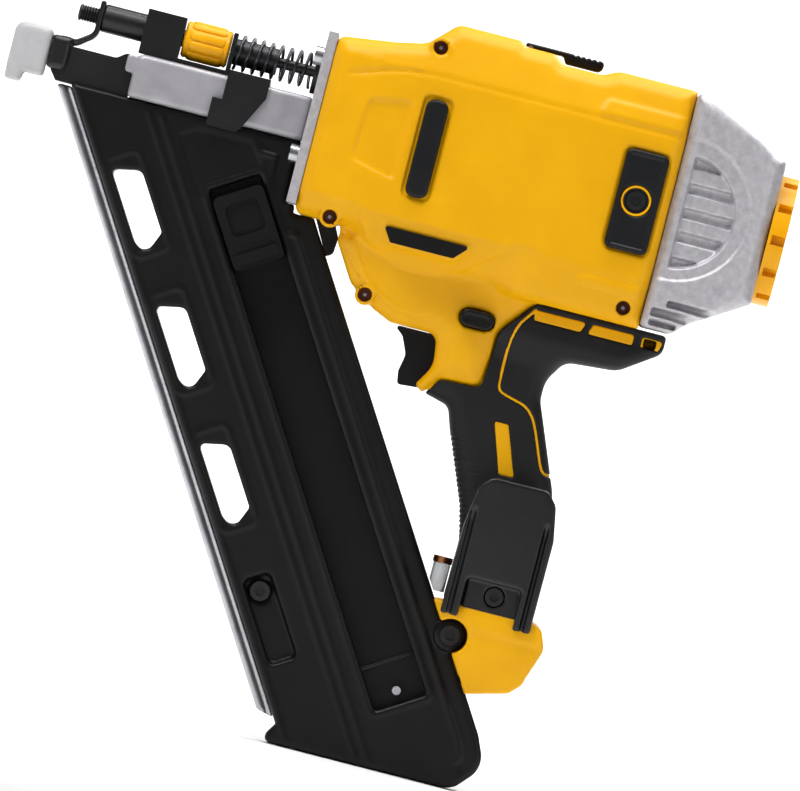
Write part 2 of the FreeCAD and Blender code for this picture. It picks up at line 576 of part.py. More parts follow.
def make_flywheel():
    """The flywheel runs on a fixed axle, round the stator of the motor that turns it."""
    rim = rod_y(-7, 7, WHEEL_R, WHEEL_X, WHEEL_Z)
    drum = rod_y(-15, 15, WHEEL_R - 2, WHEEL_X, WHEEL_Z)
    wheel = joined(rim, drum).cut(rod_y(-16, 12, WHEEL_R - 5, WHEEL_X, WHEEL_Z))
    wheel = wheel.cut(rod_y(-20, 20, 4.0 + SNUG, WHEEL_X, WHEEL_Z))
    for k in range(6):
        angle = math.radians(60 * k)
        x, z = WHEEL_X + 17 * math.cos(angle), WHEEL_Z + 17 * math.sin(angle)
        wheel = wheel.cut(rod_y(10, 20, 5.0, x, z))
    save("flywheel", wheel)
    stator = tube_y(-14, 11, WHEEL_R - 5.8, 4.0, WHEEL_X, WHEEL_Z)
    for k in range(12):
        angle = math.radians(30 * k + 15)
        x, z = WHEEL_X + 21 * math.cos(angle), WHEEL_Z + 21 * math.sin(angle)
        stator = stator.cut(rod_y(-20, 20, 3.0, x, z))
    save("motor_stator", stator)
    save("flywheel_axle", rod_y(-FRAME_HALF, FRAME_HALF, 4.0, WHEEL_X, WHEEL_Z))


def make_pinch():
    """The pinch roller on its arm, and the solenoid that pushes it down onto the driver."""
    z = PROFILE_UP + ROLLER_LIFT + ROLLER_R
    roller = tube_y(-6, 6, ROLLER_R, 3.0 + SNUG, WHEEL_X, z)
    save("pinch_roller", roller)
    link = [(WHEEL_X - 5, z - 3, 3), (WHEEL_X - 5, z + 5, 3), (220, 26, 3), (222, 42, 2), (228.5, 42, 2),
            (231, 15, 3), (222, 13, 3), (WHEEL_X + 3, z - 4, 3)]
    plates = [slab(link, -9.5, -6.5), slab(link, 6.5, 9.5)]
    web = box(222.3, 228.4, -9.5, 9.5, 30, 41.8)
    pin = rod_y(-6.6, 6.6, 3.0, WHEEL_X, z)
    hub = rod_y(-9.5, 9.5, 4.5, PIVOT_X, PIVOT_Z)
    arm = joined(plates[0], plates[1], web, pin, hub).cut(rod_y(-20, 20, 2.5 + SNUG, PIVOT_X, PIVOT_Z))
    save("pinch_arm", arm)
    save("pinch_pin", rod_y(-FRAME_HALF, FRAME_HALF, 2.5, PIVOT_X, PIVOT_Z))
    body = box(240, 270, -11, 11, 27, 47).cut(rod_x(230, 266, 3.0 + SNUG, 37))
    save("solenoid", body)
    save("solenoid_plunger", rod_x(229, 263, 3.0, 37))


# ---------------------------------------------------------------- controls
def make_trigger():
    """The trigger, the spring behind it and the switch it works."""
    face = [(201, -79.8, 1), (221, -79.8, 1), (221, -105, 1), (209, -106, 1.5), (208, -100, 6),
            (209.5, -92, 6), (206, -84, 5)]
    blade = slab(face, -TRIGGER_HALF, TRIGGER_HALF)
    stem = box(220, 226.6, -TRIGGER_HALF, TRIGGER_HALF, -97, -81)
    trigger = joined(blade, stem).cut(rod_x(216, 228, 3.6, -90))
    save("trigger", trigger)
    save("trigger_spring", coil_x(216.3, 231.7, 2.6, 0.8, 6, -90))
    save("trigger_switch", box(232, 241.5, -8, 8, -93, -80))


def make_controls():
    """The lock-off cross bolt, the stall release lever and its pin."""
    bolt = slab(button_outline(), -(BULGE_HALF + BUTTON_TRAVEL + 1.5), BULGE_HALF + BUTTON_TRAVEL + 1.5)
    save("lockoff_button", bolt)
    outline = [(228.5, 60, 1), (262, 60, 1.5), (264.5, 57.5, 1), (264.5, 54.4, 1), (248.6, 54.4, 1),
               (247, 58.1, 1), (228.5, 58.1, 0.5)]
    lever = joined(slab(outline, -10, 10), rod_y(-10, 10, 2.4, LEVER_X, LEVER_Z))
    for k in range(4):
        x = 251 + 3.2 * k
        lever = lever.cut(box(x, x + 1.4, -8, 8, 59.3, 61))
    save("stall_lever", lever.cut(rod_y(-20, 20, 1.2 + SNUG, LEVER_X, LEVER_Z)))
    save("stall_lever_pin", rod_y(-12.9, 12.9, 1.2, LEVER_X, LEVER_Z))


# ---------------------------------------------------------------- magazine
def window_cuts(low, high):
    return [strip(67.5 + WINDOW_PITCH * k, 108 + WINDOW_PITCH * k, WINDOW_FRONT, WINDOW_REAR, low, high, 3)
            for k in range(3)]


def make_magazine():
    """Two moulded halves round a slot for the nails, with a steel rail down the front."""
    half = bevelled(MAGAZINE, MAG_HALF, 2.0)
    half = half.fuse(rod_y(-MAG_HALF - 2, -5, 7.5, *FOOT_BOLT))
    half = less(half, nail_way(), rod_y(-20, 1, 2.5, *FOOT_BOLT), slab(FOOT, -5.05, 1))
    half = less(half, *window_cuts(-MAG_HALF - 1, 1))
    low = 67.5 + WINDOW_PITCH * 3
    pocket = strip(low, low + 40.5, WINDOW_FRONT, WINDOW_REAR, -MAG_HALF - 1, -8, 3)
    screw_x, screw_z = across(low + 7, 32.5)
    half = half.cut(pocket)
    track = strip(80, 340, 65.5, 90.5, -MAG_HALF - 1, 1)
    left = less(half, track, rod_y(-20, 1, 2.0, screw_x, screw_z))
    right = mirrored(half).cut(rod_y(0, MAG_HALF - 5, 2.0, *across(334, 78)))
    save("magazine_left", max(left.Solids, key=lambda s: s.Volume))
    save("magazine_right", max(right.Solids, key=lambda s: s.Volume))
    rail = [at_height(RAIL_FRONT, MAG_TOP), at_height(MAG_FRONT, MAG_TOP), at_height(MAG_FRONT, -268),
            at_height(RAIL_FRONT, -266)]
    save("magazine_rail", slab(rail, -6.5, 6.5))
    screw = screw_y(screw_x, screw_z, -11.0, -CHANNEL_HALF - RUN, 4.5, 2.0, 3.0)
    save("magazine_screw", screw)
    stop = rod_y(-MAG_HALF + 1.5, MAG_HALF - 5, 2.0, *across(334, 78))
    save("pusher_stop_pin", stop)
    bolt = screw_y(FOOT_BOLT[0], FOOT_BOLT[1], -(MAG_HALF + 5.5), MAG_HALF + 2, 4.5, 2.5, 3.5)
    save("foot_bolt", bolt)
    bracket = slab([(154.4, -42.0), (163.5, -42.0), (166.5, -48, 2), (166, -56, 3), (162.8, -57.6)], -10, 10)
    bracket = less(bracket, slab(MAGAZINE, -20, 20), slab(BULGE, -30, 30))
    save("magazine_bracket", max(bracket.Solids, key=lambda s: s.Volume))


def make_pusher():
    """The nail pusher: an outside finger block, a web through the track and a follower in the slot."""
    finger = strip(PUSHER_TOP, PUSHER_TOP + 35, 66, 90, -MAG_HALF - 4, -MAG_HALF + 7, 3)
    grip = strip(PUSHER_TOP + 5, PUSHER_TOP + 20, 70, 86, -MAG_HALF - 5, -MAG_HALF - 1.5, 3)
    ridge = strip(PUSHER_TOP + 28, PUSHER_TOP + 33, 68, 88, -MAG_HALF - 7, -MAG_HALF - 3, 1.5)
    web = strip(PUSHER_TOP, PUSHER_TOP + 35, 66, 90, -MAG_HALF + 6, 3.9)
    follower = strip(PUSHER_TOP - 6, PUSHER_TOP + 30, WINDOW_REAR + 2, 90, -3.9, 3.9)
    pusher = joined(finger.cut(grip), ridge, web, follower)
    coil_at = across(PUSHER_TOP + 18, 78)
    pusher = pusher.cut(rod_y(-8, 3, 7.5, *coil_at))
    save("pusher", pusher)
    save("pusher_spring", tube_y(-7.5, 2.5, 7.3, 4.0, *coil_at))


# ---------------------------------------------------------------- handle fittings
def make_foot_parts():
    """What the battery meets: the terminal block with its blades, and the control board above it."""
    block = slab([battery_line(272), battery_line(295), battery_line(295, 8), battery_line(274, 8)], -15, 15)
    save("terminal_block", block)
    blades = []
    for y in (-11.0, -4.0, 4.0, 11.0):
        outline = [battery_line(295, 2.5), battery_line(302, 2.5), battery_line(302, 6.5), battery_line(295, 6.5)]
        blades.append(slab(outline, y - 0.4, y + 0.4))
    save("terminal_blades", *blades)
    board = box(270, 298, -20, 20, -210.6, -209)
    posts = [box(x, x + 3, y, y + 3, -213.3, -210.6) for x in (274, 290) for y in (-15, 12)]
    room = slab(FOOT_ROOM, -27, 27)
    save("control_board", joined(board.common(room), *[p.common(room) for p in posts]))


def make_led():
    """The work light under the grip: a clear lens standing in a bright ring."""
    z_axis = Vector(0, 0, 1)
    lens = Part.makeCylinder(4.0, 13, Vector(249.4, 0, -193), z_axis)
    save("led_lens", less(lens, slab(GRIP, -20, 20), slab(FOOT, -20, 20), slab(shrunk(MAGAZINE, -0.4), -20, 20)))
    ring = Part.makeCylinder(4.6, 3, Vector(249.4, 0, -180), z_axis)
    save("led_ring", ring.cut(slab(GRIP, -20, 20)))


def make_belt_hook():
    """A screwed belt hook standing off the left of the handle, its free end up."""
    outline = [(262, -136, 7), (288, -136, 7), (293, -142, 6), (296, -162, 12), (296, -201.5, 1),
               (287, -201.5, 1), (287, -183, 2), (262, -183, 2), (262, -201.5, 1), (253.5, -201.5, 1),
               (254.5, -158, 12), (257, -141, 6)]
    plate = slab(outline, -FOOT_HALF - 3.2, -FOOT_HALF - 0.2)
    root = box(266, 286, -FOOT_HALF - 0.4, -GRIP_HALF, -196, -183.5)
    reach = box(258, 294, -FOOT_HALF - 3.2, -FOOT_HALF + 2, -195.5, -182)
    hook = joined(plate, root, reach)
    x, z = HOOK_SCREW
    hook = less(hook, rod_y(-40, 0, 2.0, x, z), rod_y(-40, -FOOT_HALF + 4, 4.4, x, z))
    save("belt_hook", hook)
    save("hook_screw", screw_y(x, z, -FOOT_HALF + 0.6, -6, 4.2, 2.0, 3.4))


make_casing()
make_overmould()
make_casing_screws()
make_side_bumpers()
make_side_plates()
make_rear_cap()
make_nose()
make_contact_tip()
make_trip_cradle()
make_inner_frame()
make_driver()
make_flywheel()
make_pinch()
make_trigger()
make_controls()
make_magazine()
make_pusher()
make_foot_parts()
make_led()
make_belt_hook()
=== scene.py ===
# %% [markdown]
# # A cordless framing nailer
# The tool drives 90 mm nails with a flywheel. CAD gives every moving and metal part its true place.
# This lesson gives the moulded parts their soft edges and relief, and every part its finish.
# Lengths in this file are millimetres unless a name ends in _m, and the scene itself is in metres.

# %% Load the frame
import math

import bmesh
import bpy
import numpy as np
from mathutils import Matrix, Vector


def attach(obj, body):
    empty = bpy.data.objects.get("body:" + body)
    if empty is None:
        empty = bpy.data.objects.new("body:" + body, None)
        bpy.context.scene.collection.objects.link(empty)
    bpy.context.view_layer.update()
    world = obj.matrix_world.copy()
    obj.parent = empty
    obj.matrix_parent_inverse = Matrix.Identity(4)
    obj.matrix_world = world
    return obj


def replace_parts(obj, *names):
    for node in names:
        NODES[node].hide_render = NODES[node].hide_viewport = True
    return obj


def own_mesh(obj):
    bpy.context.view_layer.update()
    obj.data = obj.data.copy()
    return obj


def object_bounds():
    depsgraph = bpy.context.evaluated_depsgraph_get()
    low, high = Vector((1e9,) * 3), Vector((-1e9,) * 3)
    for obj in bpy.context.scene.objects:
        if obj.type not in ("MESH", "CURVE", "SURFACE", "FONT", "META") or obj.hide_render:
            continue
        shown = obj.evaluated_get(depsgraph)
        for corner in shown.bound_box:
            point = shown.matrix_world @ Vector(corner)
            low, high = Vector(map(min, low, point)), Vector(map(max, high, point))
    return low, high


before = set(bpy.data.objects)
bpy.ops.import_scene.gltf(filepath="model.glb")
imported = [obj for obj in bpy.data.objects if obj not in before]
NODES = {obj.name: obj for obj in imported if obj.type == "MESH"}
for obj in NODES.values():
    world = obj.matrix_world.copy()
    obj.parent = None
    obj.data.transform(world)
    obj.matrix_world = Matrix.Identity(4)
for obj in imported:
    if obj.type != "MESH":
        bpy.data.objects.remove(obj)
cad_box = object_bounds()
MM = 0.001
print("CAD box in metres:", cad_box)

# %% [markdown]
# ## Finishes
# Each material starts from what the real one is and how its surface was made. Patterns are read on
# Object coordinates, so a grain has the same size in millimetres on every part.

# %% Objects, nodes and their links
def linked(name, data, *materials):
    """A new object with that mesh, light or camera, put in the scene."""
    made = bpy.data.objects.new(name, data)
    bpy.context.collection.objects.link(made)
    for material in materials:
        made.data.materials.append(material)
    return made


def linear(code):
    """A shade written as #RRGGBB, as linear light."""
    parts = [int(code[i:i + 2], 16) / 255 for i in (1, 3, 5)]
    return [c / 12.92 if c <= 0.04045 else ((c + 0.055) / 1.055) ** 2.4 for c in parts] + [1.0]


def node(tree, kind, settings=None, **inputs):
    """Adds a node. Each input is a value, or a socket to link from."""
    made = tree.nodes.new(kind)
    for name, value in (settings or {}).items():
        setattr(made, name, value)
    for name, value in inputs.items():
        key = int(name[1:]) if name[0] == "_" else name.replace("_", " ")
        socket = made.inputs[key]
        if isinstance(value, bpy.types.NodeSocket):
            tree.links.new(value, socket)
        else:
            socket.default_value = value
    return made


def blank_material(name):
    """A material with a Principled shader, and object coordinates in millimetres."""
    made = bpy.data.materials.new(name)
    made.use_nodes = True
    tree = made.node_tree
    shader = tree.nodes["Principled BSDF"]
    place = node(tree, "ShaderNodeTexCoord").outputs["Object"]
    in_mm = node(tree, "ShaderNodeMapping", Vector=place)
    in_mm.inputs["Scale"].default_value = (1000, 1000, 1000)
    return made, tree, shader, in_mm.outputs["Vector"]

# %% A grained surface
def grained(name, shade, deep, rough, grain_mm, lift, metal=0.0, blotch_mm=25.0, spread=0.12, stretch=None,
            sheen=0.2):
    """A surface with a fine grain of that size, and slow changes of tone over it."""
    made, tree, shader, at = blank_material(name)
    if stretch:
        at = node(tree, "ShaderNodeMapping", Vector=at, Scale=stretch).outputs["Vector"]
    grain = node(tree, "ShaderNodeTexNoise", Vector=at, Scale=1.0 / grain_mm, Detail=3.0, Roughness=0.6)
    slow = node(tree, "ShaderNodeTexNoise", Vector=at, Scale=1.0 / blotch_mm, Detail=2.0)
    tone = node(tree, "ShaderNodeMath", {"operation": "MULTIPLY_ADD"}, _0=slow.outputs["Fac"], _1=0.7)
    tree.links.new(node(tree, "ShaderNodeMath", {"operation": "MULTIPLY"}, _0=grain.outputs["Fac"],
                        _1=0.3).outputs[0], tone.inputs[2])
    ramp = node(tree, "ShaderNodeValToRGB", Fac=tone.outputs[0])
    ramp.color_ramp.elements[0].position = 0.3
    ramp.color_ramp.elements[1].position = 0.7
    ramp.color_ramp.elements[0].color = linear(deep)
    ramp.color_ramp.elements[1].color = linear(shade)
    tree.links.new(ramp.outputs["Color"], shader.inputs["Base Color"])
    gloss = node(tree, "ShaderNodeMapRange", Value=grain.outputs["Fac"])
    gloss.inputs["To Min"].default_value = rough - spread / 2
    gloss.inputs["To Max"].default_value = rough + spread / 2
    tree.links.new(gloss.outputs["Result"], shader.inputs["Roughness"])
    bump = node(tree, "ShaderNodeBump", Height=grain.outputs["Fac"], Strength=lift, Distance=0.0003)
    tree.links.new(bump.outputs["Normal"], shader.inputs["Normal"])
    shader.inputs["Metallic"].default_value = metal
    if metal == 0:
        shader.inputs["Specular IOR Level"].default_value = sheen
    return made

# %% The solid finishes
# Glass-filled nylon, moulded in a spark-eroded tool: satin, with a grain drawn at 0.6 mm so it shows.
amber_nylon = grained("amber_nylon_moulded", "#E8AA00", "#DEA000", 0.40, 0.6, 0.10)
black_nylon = grained("black_nylon_moulded", "#121213", "#0D0D0E", 0.38, 0.7, 0.16)
# Thermoplastic elastomer moulded over the nylon: soft to the eye, a deep matte grain.
grip_rubber = grained("elastomer_overmould", "#1D1D1F", "#141416", 0.55, 0.8, 0.35)
bumper_rubber = grained("elastomer_bumper", "#191A1C", "#121315", 0.42, 0.8, 0.2)
# Die-cast magnesium, tumbled: a pale grey with coarse bright grains.
cast_metal = grained("magnesium_die_cast", "#C0BEC2", "#A4A2A7", 0.45, 0.9, 0.34, metal=0.35, blotch_mm=3.0)
# Cast steel, bead blasted: a soft grey with no direction, smoother than the magnesium.
nose_steel = grained("steel_bead_blasted", "#ABA9AE", "#98969B", 0.42, 0.6, 0.12, metal=0.35, blotch_mm=9.0)
bright_steel = grained("steel_cold_drawn", "#C9C9CD", "#A9A9AE", 0.26, 0.5, 0.08, metal=1.0,
                       stretch=(0.2, 1.0, 1.0))
rail_steel = grained("steel_strip_brushed", "#C6C6CA", "#A6A6AB", 0.30, 0.4, 0.10, metal=0.85,
                     stretch=(1.0, 0.12, 1.0), blotch_mm=9.0)
spring_steel = grained("spring_wire_oiled", "#5A5A60", "#36363B", 0.28, 0.5, 0.05, metal=0.8)
# Steel with a black oxide skin: nearly black, with a dull sheen.
black_steel = grained("steel_black_oxide", "#1C1C1E", "#111113", 0.36, 0.9, 0.2, metal=0.25)
yellow_acetal = grained("acetal_yellow_moulded", "#F2B010", "#E39C06", 0.33, 0.9, 0.06)
copper = grained("copper_alloy_stamped", "#C98A5E", "#A86A42", 0.28, 0.5, 0.06, metal=1.0)
lamination = grained("electrical_steel_stack", "#6C6C72", "#44444A", 0.5, 0.5, 0.3, metal=0.6,
                     stretch=(1.0, 0.0, 1.0))
circuit_board = grained("glass_epoxy_board", "#1F6B3A", "#144D28", 0.35, 1.5, 0.1)
# Steel with a yellow zinc coat, painted dark brown for the shade deep in its well, with a bright tip where
# the driver rubs it.
zinc_painted_shade = grained("steel_zinc_painted_shade", "#6E3210", "#45200A", 0.4, 0.6, 0.1, metal=0.3)

# %% The clear finishes
def see_through(name, shade, pale, rough, clear, cloud):
    """A clear or milky moulding: light passes, and a cloud of that strength scatters it."""
    made, tree, shader, at = blank_material(name)
    haze = node(tree, "ShaderNodeTexNoise", Vector=at, Scale=0.25, Detail=3.0)
    ramp = node(tree, "ShaderNodeValToRGB", Fac=haze.outputs["Fac"])
    ramp.color_ramp.elements[0].color = linear(shade)
    ramp.color_ramp.elements[1].color = linear(pale)
    tree.links.new(ramp.outputs["Color"], shader.inputs["Base Color"])
    shader.inputs["Roughness"].default_value = rough
    shader.inputs["Transmission Weight"].default_value = clear
    shader.inputs["Subsurface Weight"].default_value = cloud
    shader.inputs["Subsurface Radius"].default_value = (0.006, 0.006, 0.006)
    shader.inputs["IOR"].default_value = 1.47
    return made


milky_elastomer = see_through("elastomer_milky_moulded", "#ABAAAC", "#BCBBBD", 0.45, 0.0, 0.12)
clear_lens = see_through("polycarbonate_clear_moulded", "#D6DADE", "#E6E9EC", 0.12, 0.45, 0.0)
print("materials:", len(bpy.data.materials))

# %% [markdown]
# ## Moulded parts from a depth field
# A moulded shell is drawn as its designer thinks of it: a side outline, a half width that changes over
# the side, and rounded edges. Each becomes a distance field, negative inside, and a mesh is laid on its
# zero level. Recesses, ribs and slots are then small changes of the half width.

# %% Outlines and the distance from them
def outline(points, step=1.0):
    """Corner points (x, z[, radius]) as a closed polyline with its corners rounded."""
    corners = [(np.array(p[:2], float), p[2] if len(p) > 2 else 0.0) for p in points]
    out = []
    for i, (at, radius) in enumerate(corners):
        before = corners[i - 1][0] - at
        after = corners[(i + 1) % len(corners)][0] - at
        lb, la = np.linalg.norm(before), np.linalg.norm(after)
        before, after = before / lb, after / la
        half = math.acos(max(-1, min(1, before @ after))) / 2
        if radius <= 0 or half > 1.55:
            out.append(at)
            continue
        back = min(radius / math.tan(half), 0.49 * lb, 0.49 * la)
        r = back * math.tan(half)
        centre = at + (before + after) / np.linalg.norm(before + after) * (r / math.sin(half))
        a = at + before * back - centre
        b = at + after * back - centre
        turn = math.atan2(a[0] * b[1] - a[1] * b[0], a @ b)
        count = max(2, int(abs(turn) * r / step) + 1)
        for k in range(count + 1):
            t = turn * k / count
            c, s = math.cos(t), math.sin(t)
            out.append(centre + np.array([a[0] * c - a[1] * s, a[0] * s + a[1] * c]))
    return np.array(out)


def distance(line, x, z, closed=True):
    """Distance from a polyline over a grid of x and z, negative inside a closed one."""
    best = np.full(np.broadcast(x, z).shape, 1e9)
    inside = np.zeros(best.shape, bool)
    ends = np.roll(line, -1, axis=0) if closed else line[1:]
    for a, b in zip(line, ends):
        d = b - a
        size = d @ d
        if size < 1e-12:
            continue
        t = np.clip(((x - a[0]) * d[0] + (z - a[1]) * d[1]) / size, 0, 1)
        best = np.minimum(best, (x - a[0] - t * d[0]) ** 2 + (z - a[1] - t * d[1]) ** 2)
        if closed:
            crosses = (a[1] <= z) != (b[1] <= z)
            with np.errstate(divide="ignore", invalid="ignore"):
                where = a[0] + (z - a[1]) * d[0] / (d[1] if d[1] else 1e-12)
            inside ^= crosses & (x < where)
    best = np.sqrt(best)
    return np.where(inside, -best, best) if closed else best

# %% A smooth line and a smooth step
def softened(points, times=2):
    """An open line with its corners cut off, twice over, so that it runs smoothly."""
    line = np.array(points, float)
    for _ in range(times):
        a, b = line[:-1], line[1:]
        cut = np.stack([0.75 * a + 0.25 * b, 0.25 * a + 0.75 * b], 1).reshape(-1, 2)
        line = np.concatenate([line[:1], cut, line[-1:]])
    return line


def ramp_to(value, low, high):
    """0 below low, 1 above high, smooth between."""
    t = np.clip((value - low) / (high - low), 0, 1)
    return t * t * (3 - 2 * t)

# %% Joining and cutting fields
def both(a, b, k=1.0):
    """Inside both fields, with the edge between them rounded by k."""
    h = np.maximum(k - np.abs(a - b), 0)
    return np.maximum(a, b) + h * h / (4 * k)


def either(a, b, k=1.0):
    """Inside one field or the other, with the corner between them filled by k."""
    return -both(-a, -b, k)


def without(a, b, k=0.8):
    """Inside the first field and outside the second."""
    return both(a, -b, k)


def all_of(first, *rest):
    """Inside every field, with sharp edges."""
    for other in rest:
        first = np.maximum(first, other)
    return first


def any_of(first, *rest):
    """Inside at least one field, with sharp edges."""
    for other in rest:
        first = np.minimum(first, other)
    return first


def span(value, low, high):
    """Negative between low and high."""
    return np.maximum(low - value, value - high)


def box(x, z, x0, x1, z0, z1):
    """Negative inside a sharp rectangle."""
    return np.maximum(span(x, x0, x1), span(z, z0, z1))


def bead(value, crest, edge):
    """1 along the line where value is 0, falling to 0 at edge on either side."""
    return 1 - ramp_to(np.abs(value), crest, edge)


def drawn(points, x, z):
    """Distance from a closed outline of corner points."""
    return distance(outline(points), x, z)


def oblong(x0, z0, x1, z1, r):
    """The corners of a rectangle with round corners."""
    return [(x0, z0, r), (x1, z0, r), (x1, z1, r), (x0, z1, r)]


def plate(flat, y, half, r):
    """A plate with that outline field and half width, its edges rounded by r."""
    u, v = flat + r, np.abs(y) - half + r
    return np.minimum(np.maximum(u, v), 0) + np.hypot(np.maximum(u, 0), np.maximum(v, 0)) - r

# %% A mesh on the zero level
def laid_mesh(name, field, corner, cell, material, body="tool"):
    """Surface nets: one point in each cell that the surface crosses, joined across the grid's edges."""
    inside = field < 0
    total = np.zeros(tuple(n - 1 for n in field.shape), int)
    corners = [(i, j, k) for i in (0, 1) for j in (0, 1) for k in (0, 1)]
    nx, ny, nz = total.shape
    for i, j, k in corners:
        total += inside[i:i + nx, j:j + ny, k:k + nz]
    mask = (total > 0) & (total < 8)
    cells = np.argwhere(mask)
    ids = np.full(total.shape, -1)
    ids[mask] = np.arange(len(cells))
    place = np.zeros((len(cells), 3))
    count = np.zeros(len(cells))
    i, j, k = cells.T
    for a in corners:
        for axis in range(3):
            if a[axis]:
                continue
            b = list(a)
            b[axis] = 1
            fa = field[i + a[0], j + a[1], k + a[2]]
            fb = field[i + b[0], j + b[1], k + b[2]]
            cross = (fa < 0) != (fb < 0)
            t = np.where(cross, fa / np.where(cross, fa - fb, 1), 0)
            add = np.tile(np.array(a, float), (len(cells), 1))
            add[:, axis] += t
            place += add * cross[:, None]
            count += cross
    points = (np.array(corner) + cell * (cells + place / count[:, None])) * MM
    faces = []
    for axis in range(3):
        p, q = [(1, 2), (2, 0), (0, 1)][axis]
        lo = [slice(1, -1)] * 3
        hi = [slice(1, -1)] * 3
        lo[axis], hi[axis] = slice(0, -1), slice(1, None)
        s0, s1 = inside[tuple(lo)], inside[tuple(hi)]
        at = np.argwhere(s0 != s1)
        out = s0[s0 != s1]
        base = at.copy()
        for other in (p, q):
            base[:, other] += 1
        ring = []
        for dp, dq in ((-1, -1), (0, -1), (0, 0), (-1, 0)):
            c = base.copy()
            c[:, p] += dp
            c[:, q] += dq
            ring.append(ids[c[:, 0], c[:, 1], c[:, 2]])
        quads = np.stack(ring, 1)
        quads[~out] = quads[~out][:, ::-1]
        faces.append(quads)
    faces = np.concatenate(faces)
    mesh = bpy.data.meshes.new(name)
    mesh.vertices.add(len(points))
    mesh.vertices.foreach_set("co", points.ravel())
    mesh.loops.add(faces.size)
    mesh.loops.foreach_set("vertex_index", faces.ravel().astype(np.int32))
    mesh.polygons.add(len(faces))
    mesh.polygons.foreach_set("loop_start", np.arange(0, faces.size, 4, dtype=np.int32))
    mesh.update(calc_edges=True)
    mesh.validate()
    mesh.shade_smooth()
    made = linked(name, mesh, material)
    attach(made, body)
    print(name, "points", len(points), "faces", len(faces))
    return made


def grid(low, high, fine, draft=None):
    """A box of grid points: its low corner, the cell size, then x, y and z that broadcast."""
    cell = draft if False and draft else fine
    x, y, z = (np.arange(a, b + cell, cell) for a, b in zip(low, high))
    return low, cell, x[:, None, None], y[None, :, None], z[None, None, :]


def mirrored(piece, name):
    """The right-hand twin of a left-hand piece."""
    mesh = piece.data.copy()
    mesh.transform(Matrix.Diagonal((1, -1, 1, 1)))
    mesh.flip_normals()
    return linked(name, mesh)


CELL = 0.9
print("cell size", CELL, "mm")

# %% [markdown]
# ## The casing
# Two amber clamshell halves hold the head, the flywheel bulge, the handle's core and the battery foot.
# The head's side is flat between two creases and leans in above and below them. One half is drawn and
# mirrored. It is hollow, so the drive inside moves freely.

# %% The casing's outlines
RAIL_LEAN = math.radians(32.1)
FOOT_BOLT = (261, -211)
BUMPER_SCREW = (293.5, 1.5)
HOOK_SCREW = (276, -189)
SCREW_WELLS = [(190.5, 47.0, 29.0), (184.8, -70.2, 17.5), (160.5, -40.0, 27.0), (300.0, -47.0, 29.0)]


def leaning(v, z):
    """The point on the magazine's line v at height z."""
    return ((v - z * math.sin(RAIL_LEAN)) / math.cos(RAIL_LEAN), z)


def along(u, v):
    """The point u along the magazine and v across it."""
    s, c = math.sin(RAIL_LEAN), math.cos(RAIL_LEAN)
    return (u * s + v * c, -u * c + v * s)


HEAD = [(144, 41, 4), (170, 44.5, 20), (184, 47.5, 10), (196, 59.5, 6), (225.5, 59.5, 2),
        (228.5, 57.3, 1), (242, 57.3, 3), (247, 53.5, 4),
        (265, 53.5, 4), (272, 57, 8), (309, 57), (309, -54.5), (262, -54.5, 3), (222, -54, 20),
        (200, -57, 20), (179, -50, 12), (172, -42, 4), (144, -42, 4)]
BULGE = [(225, -45), (270, -45), (262, -54.5, 8), (248, -72, 10), (246, -98, 5), (227, -99, 3),
         (221, -107, 1), (217, -104, 1), (223, -94, 12), (221, -79.5, 5), (199, -79.5, 3),
         (190, -75.5, 6), (177, -66.5, 8), (165.5, -48, 5), (172, -38, 2)]
GRIP = [(260, -54.5, 2), (323, -54.5, 2), (323, -63, 6), (305, -75.5, 12), (281, -77.5, 8),
        (274.5, -88, 13), (274.5, -97, 9), (291, -138, 30), (295, -196, 2), (253.5, -196, 2),
        (254, -168, 6), (250, -152, 30), (238, -122, 25), (234, -110, 5), (222, -107, 1),
        (227.5, -99.2, 1), (246.5, -98.2, 3), (248.3, -72, 8)]
FOOT = [leaning(107.0, -196), (300, -196, 6), (304, -207, 5), (298, -225, 4), (293, -230, 3),
        leaning(107.0, -235)]
STRIPES = [[(262, -57.5, 1), (286, -57.5, 1), (284, -62.5, 1), (262, -62.5, 1)],
           [(289, -57.5, 1), (308.5, -57.5, 1), (308.5, -62.5, 1), (287, -62.5, 1)],
           [(312, -57.5, 1), (322, -57.5, 1), (320.5, -62.5, 1), (312, -62.5, 1)],
           [(256, -111, 1), (263, -111, 1), (271.5, -134.5, 1), (264, -134.5, 1)]]
PIPING = [(262, -57.6), (253.9, -69), (253.9, -95.5), (256, -98), (262, -99.5), (268, -101),
          (272.5, -105), (276, -112), (281, -125), (283.5, -129.3), (288, -129.5)]
BUTTON = oblong(229, -72.5, 245, -64.5, 3.9)
LINK = [(219.5, -106), (232, -102.5), (249, -101.5), (251.5, -74), (262, -60), (300, -60), (300, -50),
        (240, -50), (236, -90), (226, -97)]


def around(centre, x, z):
    """Distance from an axis across the tool through that (x, z) point."""
    return np.hypot(x - centre[0], z - centre[1])


def grip_half(z):
    """Half width of the rubber handle: slimmest where the fingers close, flared to head and foot."""
    waist = 17.0 - 1.0 * np.exp(-((z + 120) / 22.0) ** 2)
    return waist + 5.0 * ramp_to(z, -84, -68)


def battery_roof(x):
    """Height of the battery slot's roof, which climbs towards the back."""
    return -222 + (x - 268.6) * math.tan(math.radians(14.4))

# %% The handle's core and the head's side
def handle_core(x, y, z):
    """The amber core that the rubber is moulded over."""
    return plate(drawn(GRIP, x, z) + 2.8, y, 14.2, 7.5)


def plain_side(x, z):
    """Half width of the head before its recesses: flat between two creases, leaning in beyond them."""
    lean_above = 0.34 * np.maximum(z - 34.6, 0)
    v_part = 1 - ramp_to(x, 236, 252)
    lean_below = np.maximum(-33 - z, 0) * (0.16 + 0.50 * v_part)
    lean_front = 0.16 * np.maximum(166 - x, 0)
    return 38 - lean_above - lean_below - lean_front

